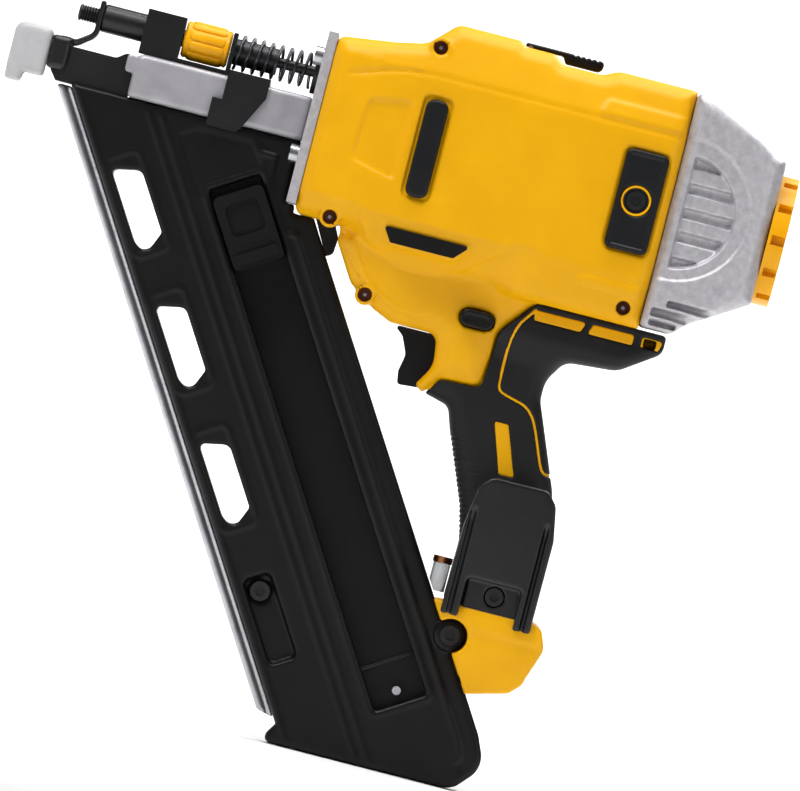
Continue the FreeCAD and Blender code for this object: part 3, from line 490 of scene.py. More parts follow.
# %% The outside of the casing
# Steps in the head's side: the change of half width, where the step starts and where it is full, both
# measured inward from the outline, and the outline.
HEAD_STEPS = [
    (-1.3, -0.5, 0.9, [(165, 17, 3), (184.5, 20, 2), (184.5, -17, 2), (163, -12, 4)]),  # front panel
    (-1.6, -0.5, 0.7, oblong(189, -23, 202.5, 25, 3)),  # front bumper's seat
    (-1.6, -0.5, 0.7, oblong(283.5, -22.6, 304.5, 25, 3)),  # rear bumper's seat
    (0.9, -0.4, 1.2, [(267, 36, 2), (308, 36, 2), (308, 44, 2), (270, 44, 2)]),  # raised pad above
    (0.9, -0.4, 1.0, oblong(277, -36.5, 306, -41.5, 1))]  # rib below
NAME_PLATE = [(185.5, -37.6, 1), (226, -37.6, 1), (219.5, -44.5, 1), (190, -44.5, 1)]
FACET = [(168, -20, 4), (178, -46, 4), (200, -56, 5), (223, -51, 4), (245, -33, 3), (245, -20, 4)]
WEB = [(165.8, -36, 1), (182, -36, 1), (182, -57, 1), (172.5, -57, 2), (168.4, -50, 2), (166, -43, 1)]


def casing_field(x, y, z):
    """The outside of the casing: head, bulge, foot, core and link joined, with their steps and grooves."""
    side = plain_side(x, z)
    for lift, start, full, points in HEAD_STEPS:
        side = side + lift * ramp_to(-drawn(points, x, z), start, full)
    side = side + 1.5 * ramp_to(-drawn(NAME_PLATE, x, z), -3.5, -0.8) * (1 - ramp_to(side, 36.5, 37.8))
    facet = drawn(FACET, x, z)
    side = side - 1.1 * ramp_to(facet, -0.7, 0.7) * ramp_to(-z, 31, 33) * (1 - ramp_to(x, 246, 262))
    groove = z - 34.2 + 9.0 * ramp_to(-x, -200, -146) ** 2
    side = side - 0.85 * bead(groove, 0.3, 1.6) * ramp_to(x, 150, 156)
    body = plate(drawn(HEAD, x, z), y, side, 7.0)
    bulge = drawn(BULGE, x, z)
    swell = 24.2 - 0.10 * np.maximum(-50 - z, 0) - 2.0 * (1 - ramp_to(-bulge, 2, 9))
    swell = swell + 0.8 * bead(bulge + 6.5, 0.4, 1.4) * (1 - ramp_to(x, 206, 216))
    body = either(body, plate(bulge, y, swell, 4.5), 3.5)
    body = either(body, plate(drawn(WEB, x, z), y, 22.0, 3.0), 1.0)
    brow = 1.2 * ramp_to(z, -207.5, -205.0)
    foot_half = 29.8 + brow - 0.06 * np.maximum(-212 - z, 0)
    body = either(body, plate(drawn(FOOT, x, z), y, foot_half, 2.4), 1.0)
    body = np.minimum(body, handle_core(x, y, z))
    body = np.minimum(body, plate(drawn(LINK, x, z), y, 13.8, 1.5))
    for x0, z0, low in SCREW_WELLS[:3]:
        column = np.hypot(x - x0, z - z0) - 4.7
        body = either(body, both(column, np.abs(y) - low - 6.0, 1.0), 1.0)
    return body

# %% The rooms and openings of the casing
def casing_rooms(x, y, z):
    """The hollow inside, and every opening through the wall."""
    rooms = [plate(drawn(HEAD, x, z) + 3.2, y, plain_side(x, z) - 5.0, 1.5),
             plate(drawn(BULGE, x, z) + 4.2, y, 20.8 - 0.10 * np.maximum(-50 - z, 0), 3.0),
             both(np.hypot(x - 200, z + 35.3) - 33, np.abs(y) - 20.8, 1.0),  # flywheel
             plate(drawn(GRIP, x, z) + 6.2, y, 11.0, 1.0),
             np.maximum(drawn(BUTTON, x, z) - 0.45, np.abs(y) - 40)]
    # The trigger and its lower end, the opening in front, the stall lever and its hinge end.
    for x0, x1, half, z0, z1 in ((212, 232.2, 7.6, -99, -79.2), (212, 228, 7.6, -108, -98),
                                 (140, 148, 20.5, -13, 32.5), (244, 266, 10.6, 53.4, 64),
                                 (224.5, 232.5, 10.6, 55.2, 64)):
        rooms.append(np.maximum(box(x, z, x0, x1, z0, z1), np.abs(y) - half))
    roof = battery_roof(x)
    rooms.append(all_of(z - roof, np.abs(y) - 24.0, 270 - x))
    rooms.append(all_of(span(z, roof - 8, roof - 3), np.abs(y) - 26.5, 270 - x))
    rooms.append(np.maximum(around(FOOT_BOLT, x, z) - 7.9, 5.0 - np.abs(y)))
    for x0, z0, low in SCREW_WELLS:
        rooms.append(np.maximum(np.hypot(x - x0, z - z0) - 3.3, low - np.abs(y)))
    rooms.append(np.maximum(around(BUMPER_SCREW, x, z) - 2.2, 21 - np.abs(y)))
    return any_of(*rooms)

# %% Lay the casing
low, cell, x, y, z = grid((141.0, -42.0, -238.0), (322.0, 1.5, 62.0), 1.2 * CELL)
shell = without(casing_field(x, y, z), casing_rooms(x, y, z), 0.7)
shell = np.maximum(shell, y + 0.06)
housing_left = laid_mesh("housing_shell_left", shell, low, cell, amber_nylon)
housing_right = mirrored(housing_left, "housing_shell_right")
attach(housing_right, "tool")
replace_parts(housing_left, "housing_left")
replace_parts(housing_right, "housing_right")

# %% [markdown]
# ## The rubber handle
# Soft elastomer is moulded over the handle's core. It flares up under the head, carries fine ribs where
# the fingers close, and leaves thin amber lines of the core in view.

# %% Lay the handle's rubber
# The rubber runs flush into the casing, so its edge is only rounded where it meets the air.
GRIP_WIDE = [(240, -40), (340, -40), (323, -54.5), (323, -63, 6)] + GRIP[3:-5] + [
    (234, -110, 5), (222, -107, 1), (222, -90)]


def rubber_field(x, y, z):
    """The rubber before its amber lines are let in, with fine ribs where the fingers close."""
    flat = drawn(GRIP_WIDE, x, z)
    ribs = ((z / 2.2) % 1.0 - 0.5) ** 2 * 4
    band = ramp_to(z, -167, -163) * (1 - ramp_to(z, -123, -119)) * (1 - ramp_to(x, 256, 262))
    flat = flat + 0.3 * ribs * band
    half = grip_half(z)
    field = plate(flat, y, half, 9.0 - 3.5 * ramp_to(z, -84, -68))
    deep = ramp_to(z, -167, -164) * (1 - ramp_to(z, -123, -120)) * (1 - ramp_to(-flat, 8, 15))
    front = 1 - ramp_to(x - 0.36 * (-120 - z), 248, 256)
    field = field + 0.55 * ribs * deep * front
    return both(field, drawn(GRIP, x, z), 0.6)


def rubber_lines(x, z):
    """The piping and the four stripes, seen from the side."""
    lines = distance(softened(PIPING), x, z, closed=False) - 0.72
    for stripe in STRIPES:
        lines = np.minimum(lines, drawn(stripe, x, z))
    return lines


low, cell, x, y, z = grid((218.0, -24.0, -199.0), (326.0, 1.5, -52.0), 0.62, 1.2)
rubber = rubber_field(x, y, z)
lines = rubber_lines(x, z)
field = without(rubber, handle_core(x, y, z) + 0.1, 0.4)
field = np.maximum(field, -np.maximum(drawn(BULGE, x, z), np.abs(y) - 23.4))
trench = np.maximum(lines + 0.05, -rubber - 1.1)
field = without(field, trench, 0.3)
pull_room = all_of(span(x, 212, 229.5), -108 - z, np.abs(y) - 7.9)
field = np.maximum(field, -pull_room)
slot_through = box(x, z, 313, 319, -62, -58)
field = np.maximum(field, -slot_through)
field = np.maximum(field, 4.7 - around(HOOK_SCREW, x, z))
field = np.maximum(field, y + 0.06)
rubber_left = laid_mesh("handle_rubber_left", field, low, cell, grip_rubber)
rubber_right = mirrored(rubber_left, "handle_rubber_right")
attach(rubber_right, "tool")
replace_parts(rubber_left, "overmould_left")
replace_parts(rubber_right, "overmould_right")
strip_field = both(lines, both(rubber + 0.25, -rubber - 2.4, 0.3), 0.3)
strip_field = all_of(strip_field, -slot_through, 8.0 - np.abs(y))
accents_left = laid_mesh("handle_lines_left", strip_field, low, cell, amber_nylon)
accents_right = mirrored(accents_left, "handle_lines_right")
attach(accents_right, "tool")

# %% [markdown]
# ## The rear cap
# The cap is die cast. Its side carries a D-shaped recess with cooling slots, and it tapers to a round
# mouth that holds a castellated bumper ring.

# %% Lay the rear cap
CAP = [(309.1, 57, 2), (317, 54.5, 20), (327, 50, 20), (341, 43.5, 14), (350, 37.5, 5), (355.6, 36, 1.5),
       (356, 33, 1), (356, -31, 2), (340, -41, 10), (330, -47, 20), (324, -53, 2), (309.1, -53, 2)]


def cap_side(x):
    """Half width of the cap, tapering towards its mouth."""
    return 37.6 - 0.0034 * np.maximum(x - 309, 0) ** 2


def cap_field(x, y, z):
    """The cap with its D-shaped recess, cooling slots and three slits below."""
    side = cap_side(x) + 0 * z
    outer = np.maximum(np.hypot(x - 313, z - 3) - 33, 309.5 - x)
    side = side - 1.3 * ramp_to(-outer, -0.5, 0.8)
    inner = all_of(np.hypot(x - 313, z - 2) - 26.5, 314.7 - x, np.abs(z - 1.75) - 26.2)
    side = side - 2.2 * ramp_to(-inner, -0.4, 0.8)
    bands = np.full(inner.shape, 9.0)
    for low_z, high_z in ((22.5, 28), (11, 15.5), (-0.5, 4), (-11.5, -7), (-24, -19)):
        bands = np.minimum(bands, span(z, low_z, high_z))
    side = side - 2.6 * ramp_to(-np.maximum(inner + 1.0, bands), -0.5, 0.6)
    for x0, x1, z0, z1 in ((319, 342, -41.5, -39), (313, 335, -47, -43.5), (313, 325, -51, -49)):
        side = side - 5.6 * ramp_to(-box(x, z, x0, x1, z0, z1), -0.6, 0.5)
    return plate(drawn(CAP, x, z), y, side, 6.5)


low, cell, x, y, z = grid((307.0, -41.0, -56.0), (359.0, 41.0, 60.0), 0.85 * CELL)
cap = cap_field(x, y, z)
room = plate(drawn(CAP, x, z) + 5.0, y, cap_side(x) - 9.6, 2.0)
mouth = all_of(x - 315, np.abs(y) - 29, np.abs(z - 1) - 46)
room = np.maximum(np.minimum(room, mouth), x - 344)
rear_cap = laid_mesh("rear_cap_casting", without(cap, room, 0.8), low, cell, cast_metal)
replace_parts(rear_cap, "rear_cap")

# %% [markdown]
# ## The magazine
# Two black shells meet round the nail slot. Windows show the nails, a slot lets the pusher's finger
# block run, and raised beads stiffen the flat side.

# %% Lay the magazine
MAGAZINE = [leaning(20.7, -9.7), (139.2, -9.7), (139.2, -38.4), (143.6, -38.4), (143.6, -42.2),
            (153.6, -42.2), leaning(107.5, -60), leaning(107.5, -252) + (12,), (291, -266, 12),
            (279, -279, 10), (188, -279, 6), leaning(20.7, -270)]
WINDOW_GAP = 65.8
WINDOWS = [67.5 + WINDOW_GAP * k for k in range(3)]


def rail_axes(x, z):
    """Places along the magazine and across it."""
    s, c = math.sin(RAIL_LEAN), math.cos(RAIL_LEAN)
    return x * s - z * c, x * c + z * s


def bar(x, z, u0, u1, v0, v1, r):
    """Outline field of a bar lined up with the magazine."""
    u, v = rail_axes(x, z)
    p = np.abs(u - (u0 + u1) / 2) - (u1 - u0) / 2 + r
    q = np.abs(v - (v0 + v1) / 2) - (v1 - v0) / 2 + r
    return np.minimum(np.maximum(p, q), 0) + np.hypot(np.maximum(p, 0), np.maximum(q, 0)) - r


def magazine_half(x, z, flat, with_track):
    """Half width of the magazine: flat, with raised beads, a label field and the lower pocket."""
    side = np.full(flat.shape, 12.4)
    v = rail_axes(x, z)[1]
    side = side + 0.6 * bead(flat + 9.5, 0.5, 1.4) * ramp_to(v, 92, 96)
    side = side - 0.5 * ramp_to(flat, -9.0, -7.5) * ramp_to(v, 92, 96)
    for line_v in (50.6, 55.7):
        side = side + 0.6 * bead(v - line_v, 0.4, 1.3) * ramp_to(-z, 12, 14)
    side = side + 0.6 * bead(v - 22.6, 0.8, 1.6)
    for start in WINDOWS:
        side = side + 0.6 * bead(bar(x, z, start - 5, start + 42.5, 24.2, 41.3, 4), 0.4, 1.3)
    label = bar(x, z, 62, 92, 60, 92, 2)
    side = side - 0.35 * ramp_to(-label, -0.2, 0.6) * ramp_to(-z, 14, 17)
    side = side - 3.6 * ramp_to(-bar(x, z, 264.9, 305.4, 26.3, 39.5, 3), -0.5, 0.6)
    if with_track:
        side = side + 0.6 * bead(bar(x, z, 89, 342, 63.5, 92.5, 2.5), 0.4, 1.3)
    return side


def window_line(start):
    """A window's outline: its ends are cut level with the bench, and two of its corners are cut off."""
    ends = [(0, 26.3, 2), (5.0, 39.5, 4), (35, 39.5, 0.8), (40.3, 32, 4), (39.2, 28, 4), (35, 26.3, 4)]
    return [along(start + u, v) + (r,) for u, v, r in ends]


def magazine_field(x, y, z, with_track):
    """One half of the magazine, with its ear for the foot's bolt and everything cut through it."""
    flat = drawn(MAGAZINE, x, z)
    body = plate(flat, y, magazine_half(x, z, flat, with_track), 2.2)
    body = either(body, both(around(FOOT_BOLT, x, z) - 7.5, np.abs(y) - 15, 1.0), 0.8)
    channel = np.maximum(bar(x, z, -30, 320, 22.2, 101, 1.0), np.abs(y) - 4.2)
    cuts = [channel, around(FOOT_BOLT, x, z) - 2.6,
            np.maximum(drawn(FOOT, x, z) + 1.2, np.abs(y) - 5.1)]
    cuts += [drawn(window_line(start), x, z) for start in WINDOWS]
    screw = along(WINDOWS[0] + WINDOW_GAP * 3 + 7, 32.5)
    cuts.append(np.maximum(around(screw, x, z) - 5.2, 7.8 - np.abs(y)))
    if with_track:
        cuts.append(np.maximum(bar(x, z, 91, 340, 65.5, 90.5, 1.5) + 0 * y, y - 1))
    for cut in cuts:
        body = without(body, cut, 0.6)
    return np.maximum(body, y + 0.05)


low, cell, x, y, z = grid((27.0, -17.0, -282.0), (293.0, 1.5, -8.0), 1.1 * CELL)
magazine_left = laid_mesh("magazine_shell_left", magazine_field(x, y, z, True), low, cell,
                          black_nylon)
magazine_right = laid_mesh("magazine_plain_half", magazine_field(x, y, z, False), low, cell,
                           black_nylon)
twin = mirrored(magazine_right, "magazine_shell_right")
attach(twin, "tool")
bpy.data.objects.remove(magazine_right)
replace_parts(magazine_left, "magazine_left")
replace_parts(twin, "magazine_right")

# %% [markdown]
# ## The nail rail
# A bright steel strip closes the front edge of the magazine, and the nails' points run behind it. A real
# one is rolled, with a groove along each side that stiffens it, so the groove is cut in its depth field.

# %% Lay the rail
rail_line = [leaning(14.5, -11.2) + (1.0,), leaning(20.6, -11.2) + (0.5,), leaning(20.6, -267.8) + (0.5,),
             leaning(14.5, -265.6) + (1.5,)]
low, cell, x, y, z = grid((18.0, -8.0, -270.0), (198.0, 8.0, -8.0), 0.8, 1.3)
rail_side = 6.4 - 1.3 * bead(rail_axes(x, z)[1] - 18.7, 0.5, 1.1)
rail = plate(drawn(rail_line, x, z), y, rail_side, 1.2)
rail_piece = laid_mesh("magazine_rail_rolled", rail, low, cell, rail_steel)
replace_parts(rail_piece, "magazine_rail")

# %% [markdown]
# ## Turned parts
# Screw heads and rods are turned on a lathe, so a short profile spun round an axis makes them.

# %% A turned shape
def turned(name, profile, axis, centre, material, body="tool", count=48, keep=True):
    """Spins a profile of (distance along the axis, radius) points round an axis through centre."""
    mesh = bpy.data.meshes.new(name)
    rings = []
    for at, r in profile:
        ring = []
        for k in range(count):
            t = 2 * math.pi * k / count
            a, b = r * math.cos(t), r * math.sin(t)
            place = (at, a, b) if axis == "X" else (a, at, -b)
            ring.append([(p + c) * MM for p, c in zip(place, centre)])
        rings.append(ring)
    points = [p for ring in rings for p in ring]
    faces = []
    for j in range(len(rings) - 1):
        for k in range(count):
            a, b = j * count + k, j * count + (k + 1) % count
            faces.append((a, a + count, b + count, b))
    mesh.from_pydata(points, [], faces)
    work = bmesh.new()
    work.from_mesh(mesh)
    bmesh.ops.remove_doubles(work, verts=work.verts, dist=2e-6)
    bmesh.ops.recalc_face_normals(work, faces=work.faces)
    work.to_mesh(mesh)
    work.free()
    mesh.shade_smooth()
    mesh.set_sharp_from_angle(angle=math.radians(35))
    made = linked(name, mesh, material)
    if keep:
        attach(made, body)
    print(name, "turned, faces", len(mesh.polygons))
    return made

# %% [markdown]
# ## Casing screws
# The screws sit in eight wells. Geometry Nodes set a copy on each point of a small mesh, so their count
# and their size stay open to change.

# %% Copies on points, with Geometry Nodes
def new_tree(name, inputs, output):
    """A tree of Geometry Nodes with named inputs, each with its kind, and one geometry out."""
    tree = bpy.data.node_groups.new(name, "GeometryNodeTree")
    for label, kind in inputs.items():
        tree.interface.new_socket(label, in_out="INPUT", socket_type="NodeSocket" + kind)
    tree.interface.new_socket(output, in_out="OUTPUT", socket_type="NodeSocketGeometry")
    return tree, node(tree, "NodeGroupInput").outputs


def finished_tree(tree, shape, material, output):
    """Ends a tree: copies become plain mesh, and the mesh gets its material."""
    solid = node(tree, "GeometryNodeRealizeInstances", Geometry=shape)
    painted = node(tree, "GeometryNodeSetMaterial", Geometry=solid.outputs[0], Material=material)
    node(tree, "NodeGroupOutput", **{output: painted.outputs[0]})
    return tree


def grown(name, mesh, tree, values, material):
    """Runs a tree of nodes on a mesh with those inputs, and keeps the plain mesh that it makes."""
    holder = linked(name, mesh)
    live = holder.modifiers.new("tree", "NODES")
    live.node_group = tree
    for item in tree.interface.items_tree:
        if item.in_out == "INPUT" and item.name in values:
            live[item.identifier] = values[item.name]
    bpy.context.view_layer.update()
    view = bpy.context.evaluated_depsgraph_get()
    plain = bpy.data.meshes.new_from_object(holder.evaluated_get(view))
    holder.modifiers.clear()
    bpy.data.objects.remove(holder)
    made = linked(name, plain)
    if not plain.materials:
        plain.materials.append(material)
    return made


def placed_copies(name, places, part, material, body):
    """A tree that sets a part on every point of a mesh, its turn given as a point value and its size as one
    value for all.
    """
    cloud = bpy.data.meshes.new(name + "_places")
    cloud.from_pydata([[v * MM for v in at] for at, _ in places], [], [])
    angles = cloud.attributes.new("turn", "FLOAT_VECTOR", "POINT")
    angles.data.foreach_set("vector", [v for _, turn in places for v in turn])
    tree, given = new_tree(name + "_tree", {"Places": "Geometry", "Part": "Object", "Size": "Float"},
                           "Copies")
    shape = node(tree, "GeometryNodeObjectInfo", Object=given["Part"])
    turn = node(tree, "GeometryNodeInputNamedAttribute", {"data_type": "FLOAT_VECTOR"}, Name="turn")
    copies = node(tree, "GeometryNodeInstanceOnPoints", Points=given["Places"],
                  Instance=shape.outputs["Geometry"], Rotation=turn.outputs["Attribute"],
                  Scale=given["Size"])
    finished_tree(tree, copies.outputs["Instances"], material, "Copies")
    made = grown(name, cloud, tree, {"Part": part, "Size": 1.0}, material)
    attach(made, body)
    print(name, "copies", len(places), "faces", len(made.data.polygons))
    return made

# %% Casing screws
head_profile = [(-1.2, 0.0), (-1.2, 1.0), (-0.1, 1.05), (-0.1, 2.0), (-0.7, 2.5), (-0.7, 3.0),
                (0.0, 3.2), (2.4, 3.2), (2.4, 0.0)]
tip_profile = [(-1.6, 0.0), (-1.6, 0.8), (-1.3, 0.95), (0.5, 0.95), (0.5, 0.0)]
# The screw heads carry a painted dark brown that stands in for the shade deep in their wells.
head = turned("screw_pattern", head_profile, "Y", (0, 0, 0), zinc_painted_shade, keep=False)
tip = turned("tip_pattern", tip_profile, "Y", (0, 0, 0), bright_steel, keep=False)
wells = []
for wx, wz, low in SCREW_WELLS:
    for hand in (-1, 1):
        wells.append(((wx, hand * (low + 1.6), wz), (0.0, 0.0, 0.0 if hand < 0 else math.pi)))
screws = placed_copies("casing_screw_heads", wells, head, zinc_painted_shade, "tool")
tips = placed_copies("casing_screw_tips", wells, tip, bright_steel, "tool")
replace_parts(screws, "casing_screws")
bpy.data.objects.remove(head)
bpy.data.objects.remove(tip)

# %% [markdown]
# ## The depth wheel
# The wheel has ten lobes for the thumb. One lobe is a half round that shrinks at both ends, and the same
# tree of nodes sets it ten times round a turned core.

# %% Depth wheel
TRIP_Z = 22.8
LOBE_STEPS = 12
lobe = linked("lobe_pattern", bpy.data.meshes.new("lobe_pattern"))
rows = []
for along_x, grow in ((-8.6, 0.15), (-8.0, 0.75), (-6.6, 1.0), (6.6, 1.0), (8.0, 0.75), (8.6, 0.15)):
    row = []
    for k in range(LOBE_STEPS + 1):
        t = math.pi * k / LOBE_STEPS
        row.append((along_x * MM, (2.35 * math.cos(t)) * grow * MM,
                    (7.6 + 1.55 * grow * math.sin(t) ** 0.7) * MM))
    rows.append(row)
work = bmesh.new()
grid_points = [[work.verts.new(p) for p in row] for row in rows]
for a, b in zip(grid_points, grid_points[1:]):
    for k in range(LOBE_STEPS):
        work.faces.new((a[k], a[k + 1], b[k + 1], b[k]))
    work.faces.new((a[LOBE_STEPS], a[0], b[0], b[LOBE_STEPS]))
work.faces.new(grid_points[0])
work.faces.new(grid_points[-1])
bmesh.ops.recalc_face_normals(work, faces=work.faces)
work.to_mesh(lobe.data)
work.free()
lobe.data.shade_smooth()
turns = [((86.5, 0, TRIP_Z), (2 * math.pi * k / 10, 0.0, 0.0)) for k in range(10)]
lobes = placed_copies("depth_wheel_lobes", turns, lobe, yellow_acetal, "depth_wheel_body")
bpy.data.objects.remove(lobe)
core_profile = [(75.6, 4.1), (75.6, 7.6), (76.6, 8.5), (78.6, 8.1), (94.4, 8.1), (96.2, 8.6),
                (97.1, 7.6), (97.1, 4.1), (75.6, 4.1)]
core = turned("depth_wheel_core", core_profile, "X", (0, 0, TRIP_Z), yellow_acetal,
              "depth_wheel_body", count=64)
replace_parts(core, "depth_wheel")

# %% [markdown]
# ## Compression springs
# Three kinds of spring push the trip, the driver and the trigger back. Each is a round wire on an even
# spiral, so one tree of Geometry Nodes makes them all from four sizes.

# %% A tree that winds a spring
def coil_tree():
    """A round wire on an even spiral along X, from four sizes in metres."""
    sizes = dict.fromkeys(("Turns", "Coil Radius", "Wire Radius", "Length"), "Float")
    tree, given = new_tree("coil_tree", sizes, "Coil")
    path = node(tree, "GeometryNodeCurveSpiral", Resolution=28, Rotations=given["Turns"],
                Start_Radius=given["Coil Radius"], End_Radius=given["Coil Radius"],
                Height=given["Length"])
    wire = node(tree, "GeometryNodeCurvePrimitiveCircle", Resolution=10, Radius=given["Wire Radius"])
    tube = node(tree, "GeometryNodeCurveToMesh", Curve=path.outputs[0], Profile_Curve=wire.outputs[0])
    tube.inputs["Fill Caps"].default_value = True
    laid = node(tree, "GeometryNodeTransform", Geometry=tube.outputs[0], Rotation=(0.0, math.pi / 2, 0.0))
    return finished_tree(tree, laid.outputs[0], spring_steel, "Coil")


def wound(name, start, end, radius, wire, turns, y_at, z_at):
    """A spring along X on the casing, wound from start to end."""
    sizes = {"Turns": float(turns), "Coil Radius": radius * MM, "Wire Radius": wire / 2 * MM,
             "Length": (end - start - wire) * MM}
    made = grown(name, bpy.data.meshes.new(name), COILS, sizes, spring_steel)
    made.data.transform(Matrix.Translation(((start + wire / 2) * MM, y_at * MM, z_at * MM)))
    made.data.shade_smooth()
    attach(made, "tool")
    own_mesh(made)
    return made


COILS = coil_tree()
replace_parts(wound("trip_spring_coil", 99.8, 136.7, 7.7, 1.5, 8, 0, TRIP_Z),
            "trip_spring")
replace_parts(wound("return_spring_near", 147.3, 287.7, 4.1, 1.0, 24, -12, 1.5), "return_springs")
wound("return_spring_far", 147.3, 287.7, 4.1, 1.0, 24, 12, 1.5)
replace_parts(wound("trigger_spring_coil", 216.3, 231.7, 2.6, 0.8, 6, 0, -90),
            "trigger_spring")

# %% [markdown]
# ## The trip rod
# The rod that carries the tip is turned from black steel. Its front end is threaded, which a saw-toothed
# profile gives.

# %% Trip rod with its thread
profile = [(26.0, 0.0), (26.0, 3.0), (26.7, 3.9)]
turn_at = 27.2
while turn_at < 35.0:
    profile += [(turn_at, 3.95), (turn_at + 0.5, 3.35), (turn_at + 0.75, 3.35)]
    turn_at += 1.25
profile += [(36.0, 3.95), (37.5, 3.95), (37.5, 5.9), (38.1, 6.5), (57.9, 6.5), (58.5, 5.9), (58.5, 3.95),
            (94.5, 3.95), (94.5, 0.0)]
rod = turned("trip_rod_turned", profile, "X", (0, 0, TRIP_Z), black_steel, "contact_tip_body")
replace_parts(rod, "trip_rod")

# %% [markdown]
# ## The soft pad and the steel tip
# The pad is a milky elastomer cap that keeps the steel off the wood. The tip behind it is bent from thick
# strip, so its arm keeps one thickness round its curve. Both come from small depth fields, because only
# their edges need care.

# %% Pad and tip
low, cell, x, y, z = grid((-1.0, -12.0, -16.5), (39.0, 12.0, 32.0), 0.5, 0.8)
pad_line = [(0, 12.5, 5), (17.5, 12.5, 3), (17.5, -10.2, 2), (8.5, -10.2, 1), (7.5, -15, 1.5),
            (0.4, -15, 1.5), (0, -8, 2)]
pad = plate(drawn(pad_line, x, z), y, 11 - 0.05 * np.maximum(8 - x, 0) * 2, 3.5)
pad = without(pad, np.hypot(y, z) - 5.0, 0.5)
pad = without(pad, all_of(6.5 - x, np.abs(y) - 8.3, span(z, -12, 6.9)), 0.4)
pad_piece = laid_mesh("no_mar_pad_soft", pad, low, cell, milky_elastomer, "contact_tip_body")
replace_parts(pad_piece, "no_mar_pad")
sleeve_line = [(17.5, 10, 1.5), (27, 10, 2), (27, -5.5, 3), (17.5, -5.5, 1.5)]
sleeve = plate(drawn(sleeve_line, x, z), y, 11, 3.0)
sleeve = without(sleeve, np.maximum(np.abs(y) - 8.3, z - 6.9), 0.4)
arm_line = [(22, 10), (22, 7.2), (29, 7.2, 5), (37.5, 13.5, 7), (37.5, 30.5, 1.2), (35, 30.5, 1.2),
            (35, 15, 4), (28, 10, 3)]
arm = plate(drawn(arm_line, x, z), y, 6.0 + 2.0 * (1 - ramp_to(x, 26, 33)), 1.0)
arm = without(arm, np.maximum(np.hypot(y, z - TRIP_Z) - 4.05, 30 - x), 0.3)
tip_piece = laid_mesh("contact_tip_bent", either(sleeve, arm, 1.5), low, cell, black_steel,
                      "contact_tip_body")
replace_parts(tip_piece, "contact_tip")

# %% [markdown]
# ## The cast nosepiece
# The nosepiece is a casting, so its corners are round and its faces lean a little. The nail's channel and
# the slot for the driver run through it.

# %% Nosepiece
low, cell, x, y, z = grid((51.0, -16.5, -11.5), (141.0, 16.5, 13.0), 0.75, 1.2)
nose_line = [(57, 11, 4), (139.5, 11), (139.5, -9.5), (57, -9.5, 1.5)]
cast = plate(drawn(nose_line, x, z), y, 14.9 - 0.02 * np.maximum(70 - x, 0), 2.6)
cast = np.maximum(cast, x - 139.4)
nub = drawn([(53, 9.6, 1.5), (60, 9.6), (60, 1.4), (53, 1.4, 1.5)], x, z)
cast = either(cast, both(nub, np.abs(np.abs(y) - 11) - 2.0, 0.8), 0.8)
bore = np.hypot(y, z) - 4.5
slot_way = all_of(86.0 - x, np.abs(y) - 7.0, np.abs(z - 1.0) - 4.6)
nails = all_of(np.abs(y) - 4.4, z, 20.7 - rail_axes(x, z)[1])
cast = without(cast, any_of(bore, slot_way, nails), 0.4)
nose_piece = laid_mesh("nosepiece_cast", cast, low, cell, nose_steel)
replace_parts(nose_piece, "nosepiece")

# %% [markdown]
# ## The battery blades
# The four blades that meet the battery are stamped from copper alloy, with rounded ends.

# %% Battery blades
low, cell, x, y, z = grid((294.0, -12.5, -222.5), (301.0, 12.5, -214.5), 0.35)
roof = battery_roof(x)
blade = both(span(z, roof - 6.5, roof - 2.5), span(x, 295.0, 298.6), 0.8)
blade = np.maximum(blade, 294.4 - x)
across = np.minimum(np.abs(np.abs(y) - 11.0), np.abs(np.abs(y) - 4.0)) - 0.5
blades = laid_mesh("battery_blades", both(blade, across, 0.3), low, cell, copper)
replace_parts(blades, "terminal_blades")

# %% [markdown]
# ## Side bumpers
# Each side has two rubber bumpers let into the head. The rear one frames a screw with a yellow ring.

# %% Side bumpers
for label, node_name, line, bore in (
        ("side_bumper_front", "side_bumpers_front", oblong(190.5, -22, 201, 23.5, 4), None),
        ("side_bumper_rear", "side_bumpers_rear", oblong(284, -22, 304, 24.5, 3), 7.2)):
    low = (line[0][0] - 2, -41.5, line[0][1] - 2)
    high = (line[2][0] + 2, -35.0, line[2][1] + 2)
    low, cell, x, y, z = grid(low, high, 0.6, 1.0)
    flat = drawn(line, x, z)
    face = 40.5 - 0.9 * ramp_to(-flat, 1.8, 2.8) if bore else 40.5 + 0 * flat
    field = both(both(flat, -y - face, 1.8), y + 36.6, 0.3)
    if bore:
        field = without(field, around(BUMPER_SCREW, x, z) - bore, 0.4)
    left = laid_mesh(label + "_left", field, low, cell, bumper_rubber)
    other = mirrored(left, label + "_right")
    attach(other, "tool")
    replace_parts(left, node_name)
ring_profile = [(-39.0, 5.9), (-39.45, 6.2), (-39.45, 6.75), (-39.0, 7.0), (-38.0, 7.0), (-38.0, 5.9),
                (-39.0, 5.9)]
dish_profile = [(-38.0, 0.0), (-38.2, 4.2), (-38.9, 4.9), (-39.0, 5.85), (-37.0, 5.85), (-37.0, 0.0)]
screw_x, screw_z = BUMPER_SCREW
rings = []
for hand in (1, -1):
    side = "left" if hand > 0 else "right"
    for label, profile, made, slot in (("bumper_ring_", ring_profile, yellow_acetal, "yellow_plastic"),
                                       ("bumper_dish_", dish_profile, bumper_rubber, "grip_rubber")):
        piece = turned(label + side, [(a * hand, r) for a, r in profile], "Y",
                       (screw_x, 0, screw_z), made)
        rings.append(piece)
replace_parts(rings[0], "bumper_washers")

# %% [markdown]
# ## The belt hook
# The hook is a stamped and coated steel plate with two ribs folded down each edge.

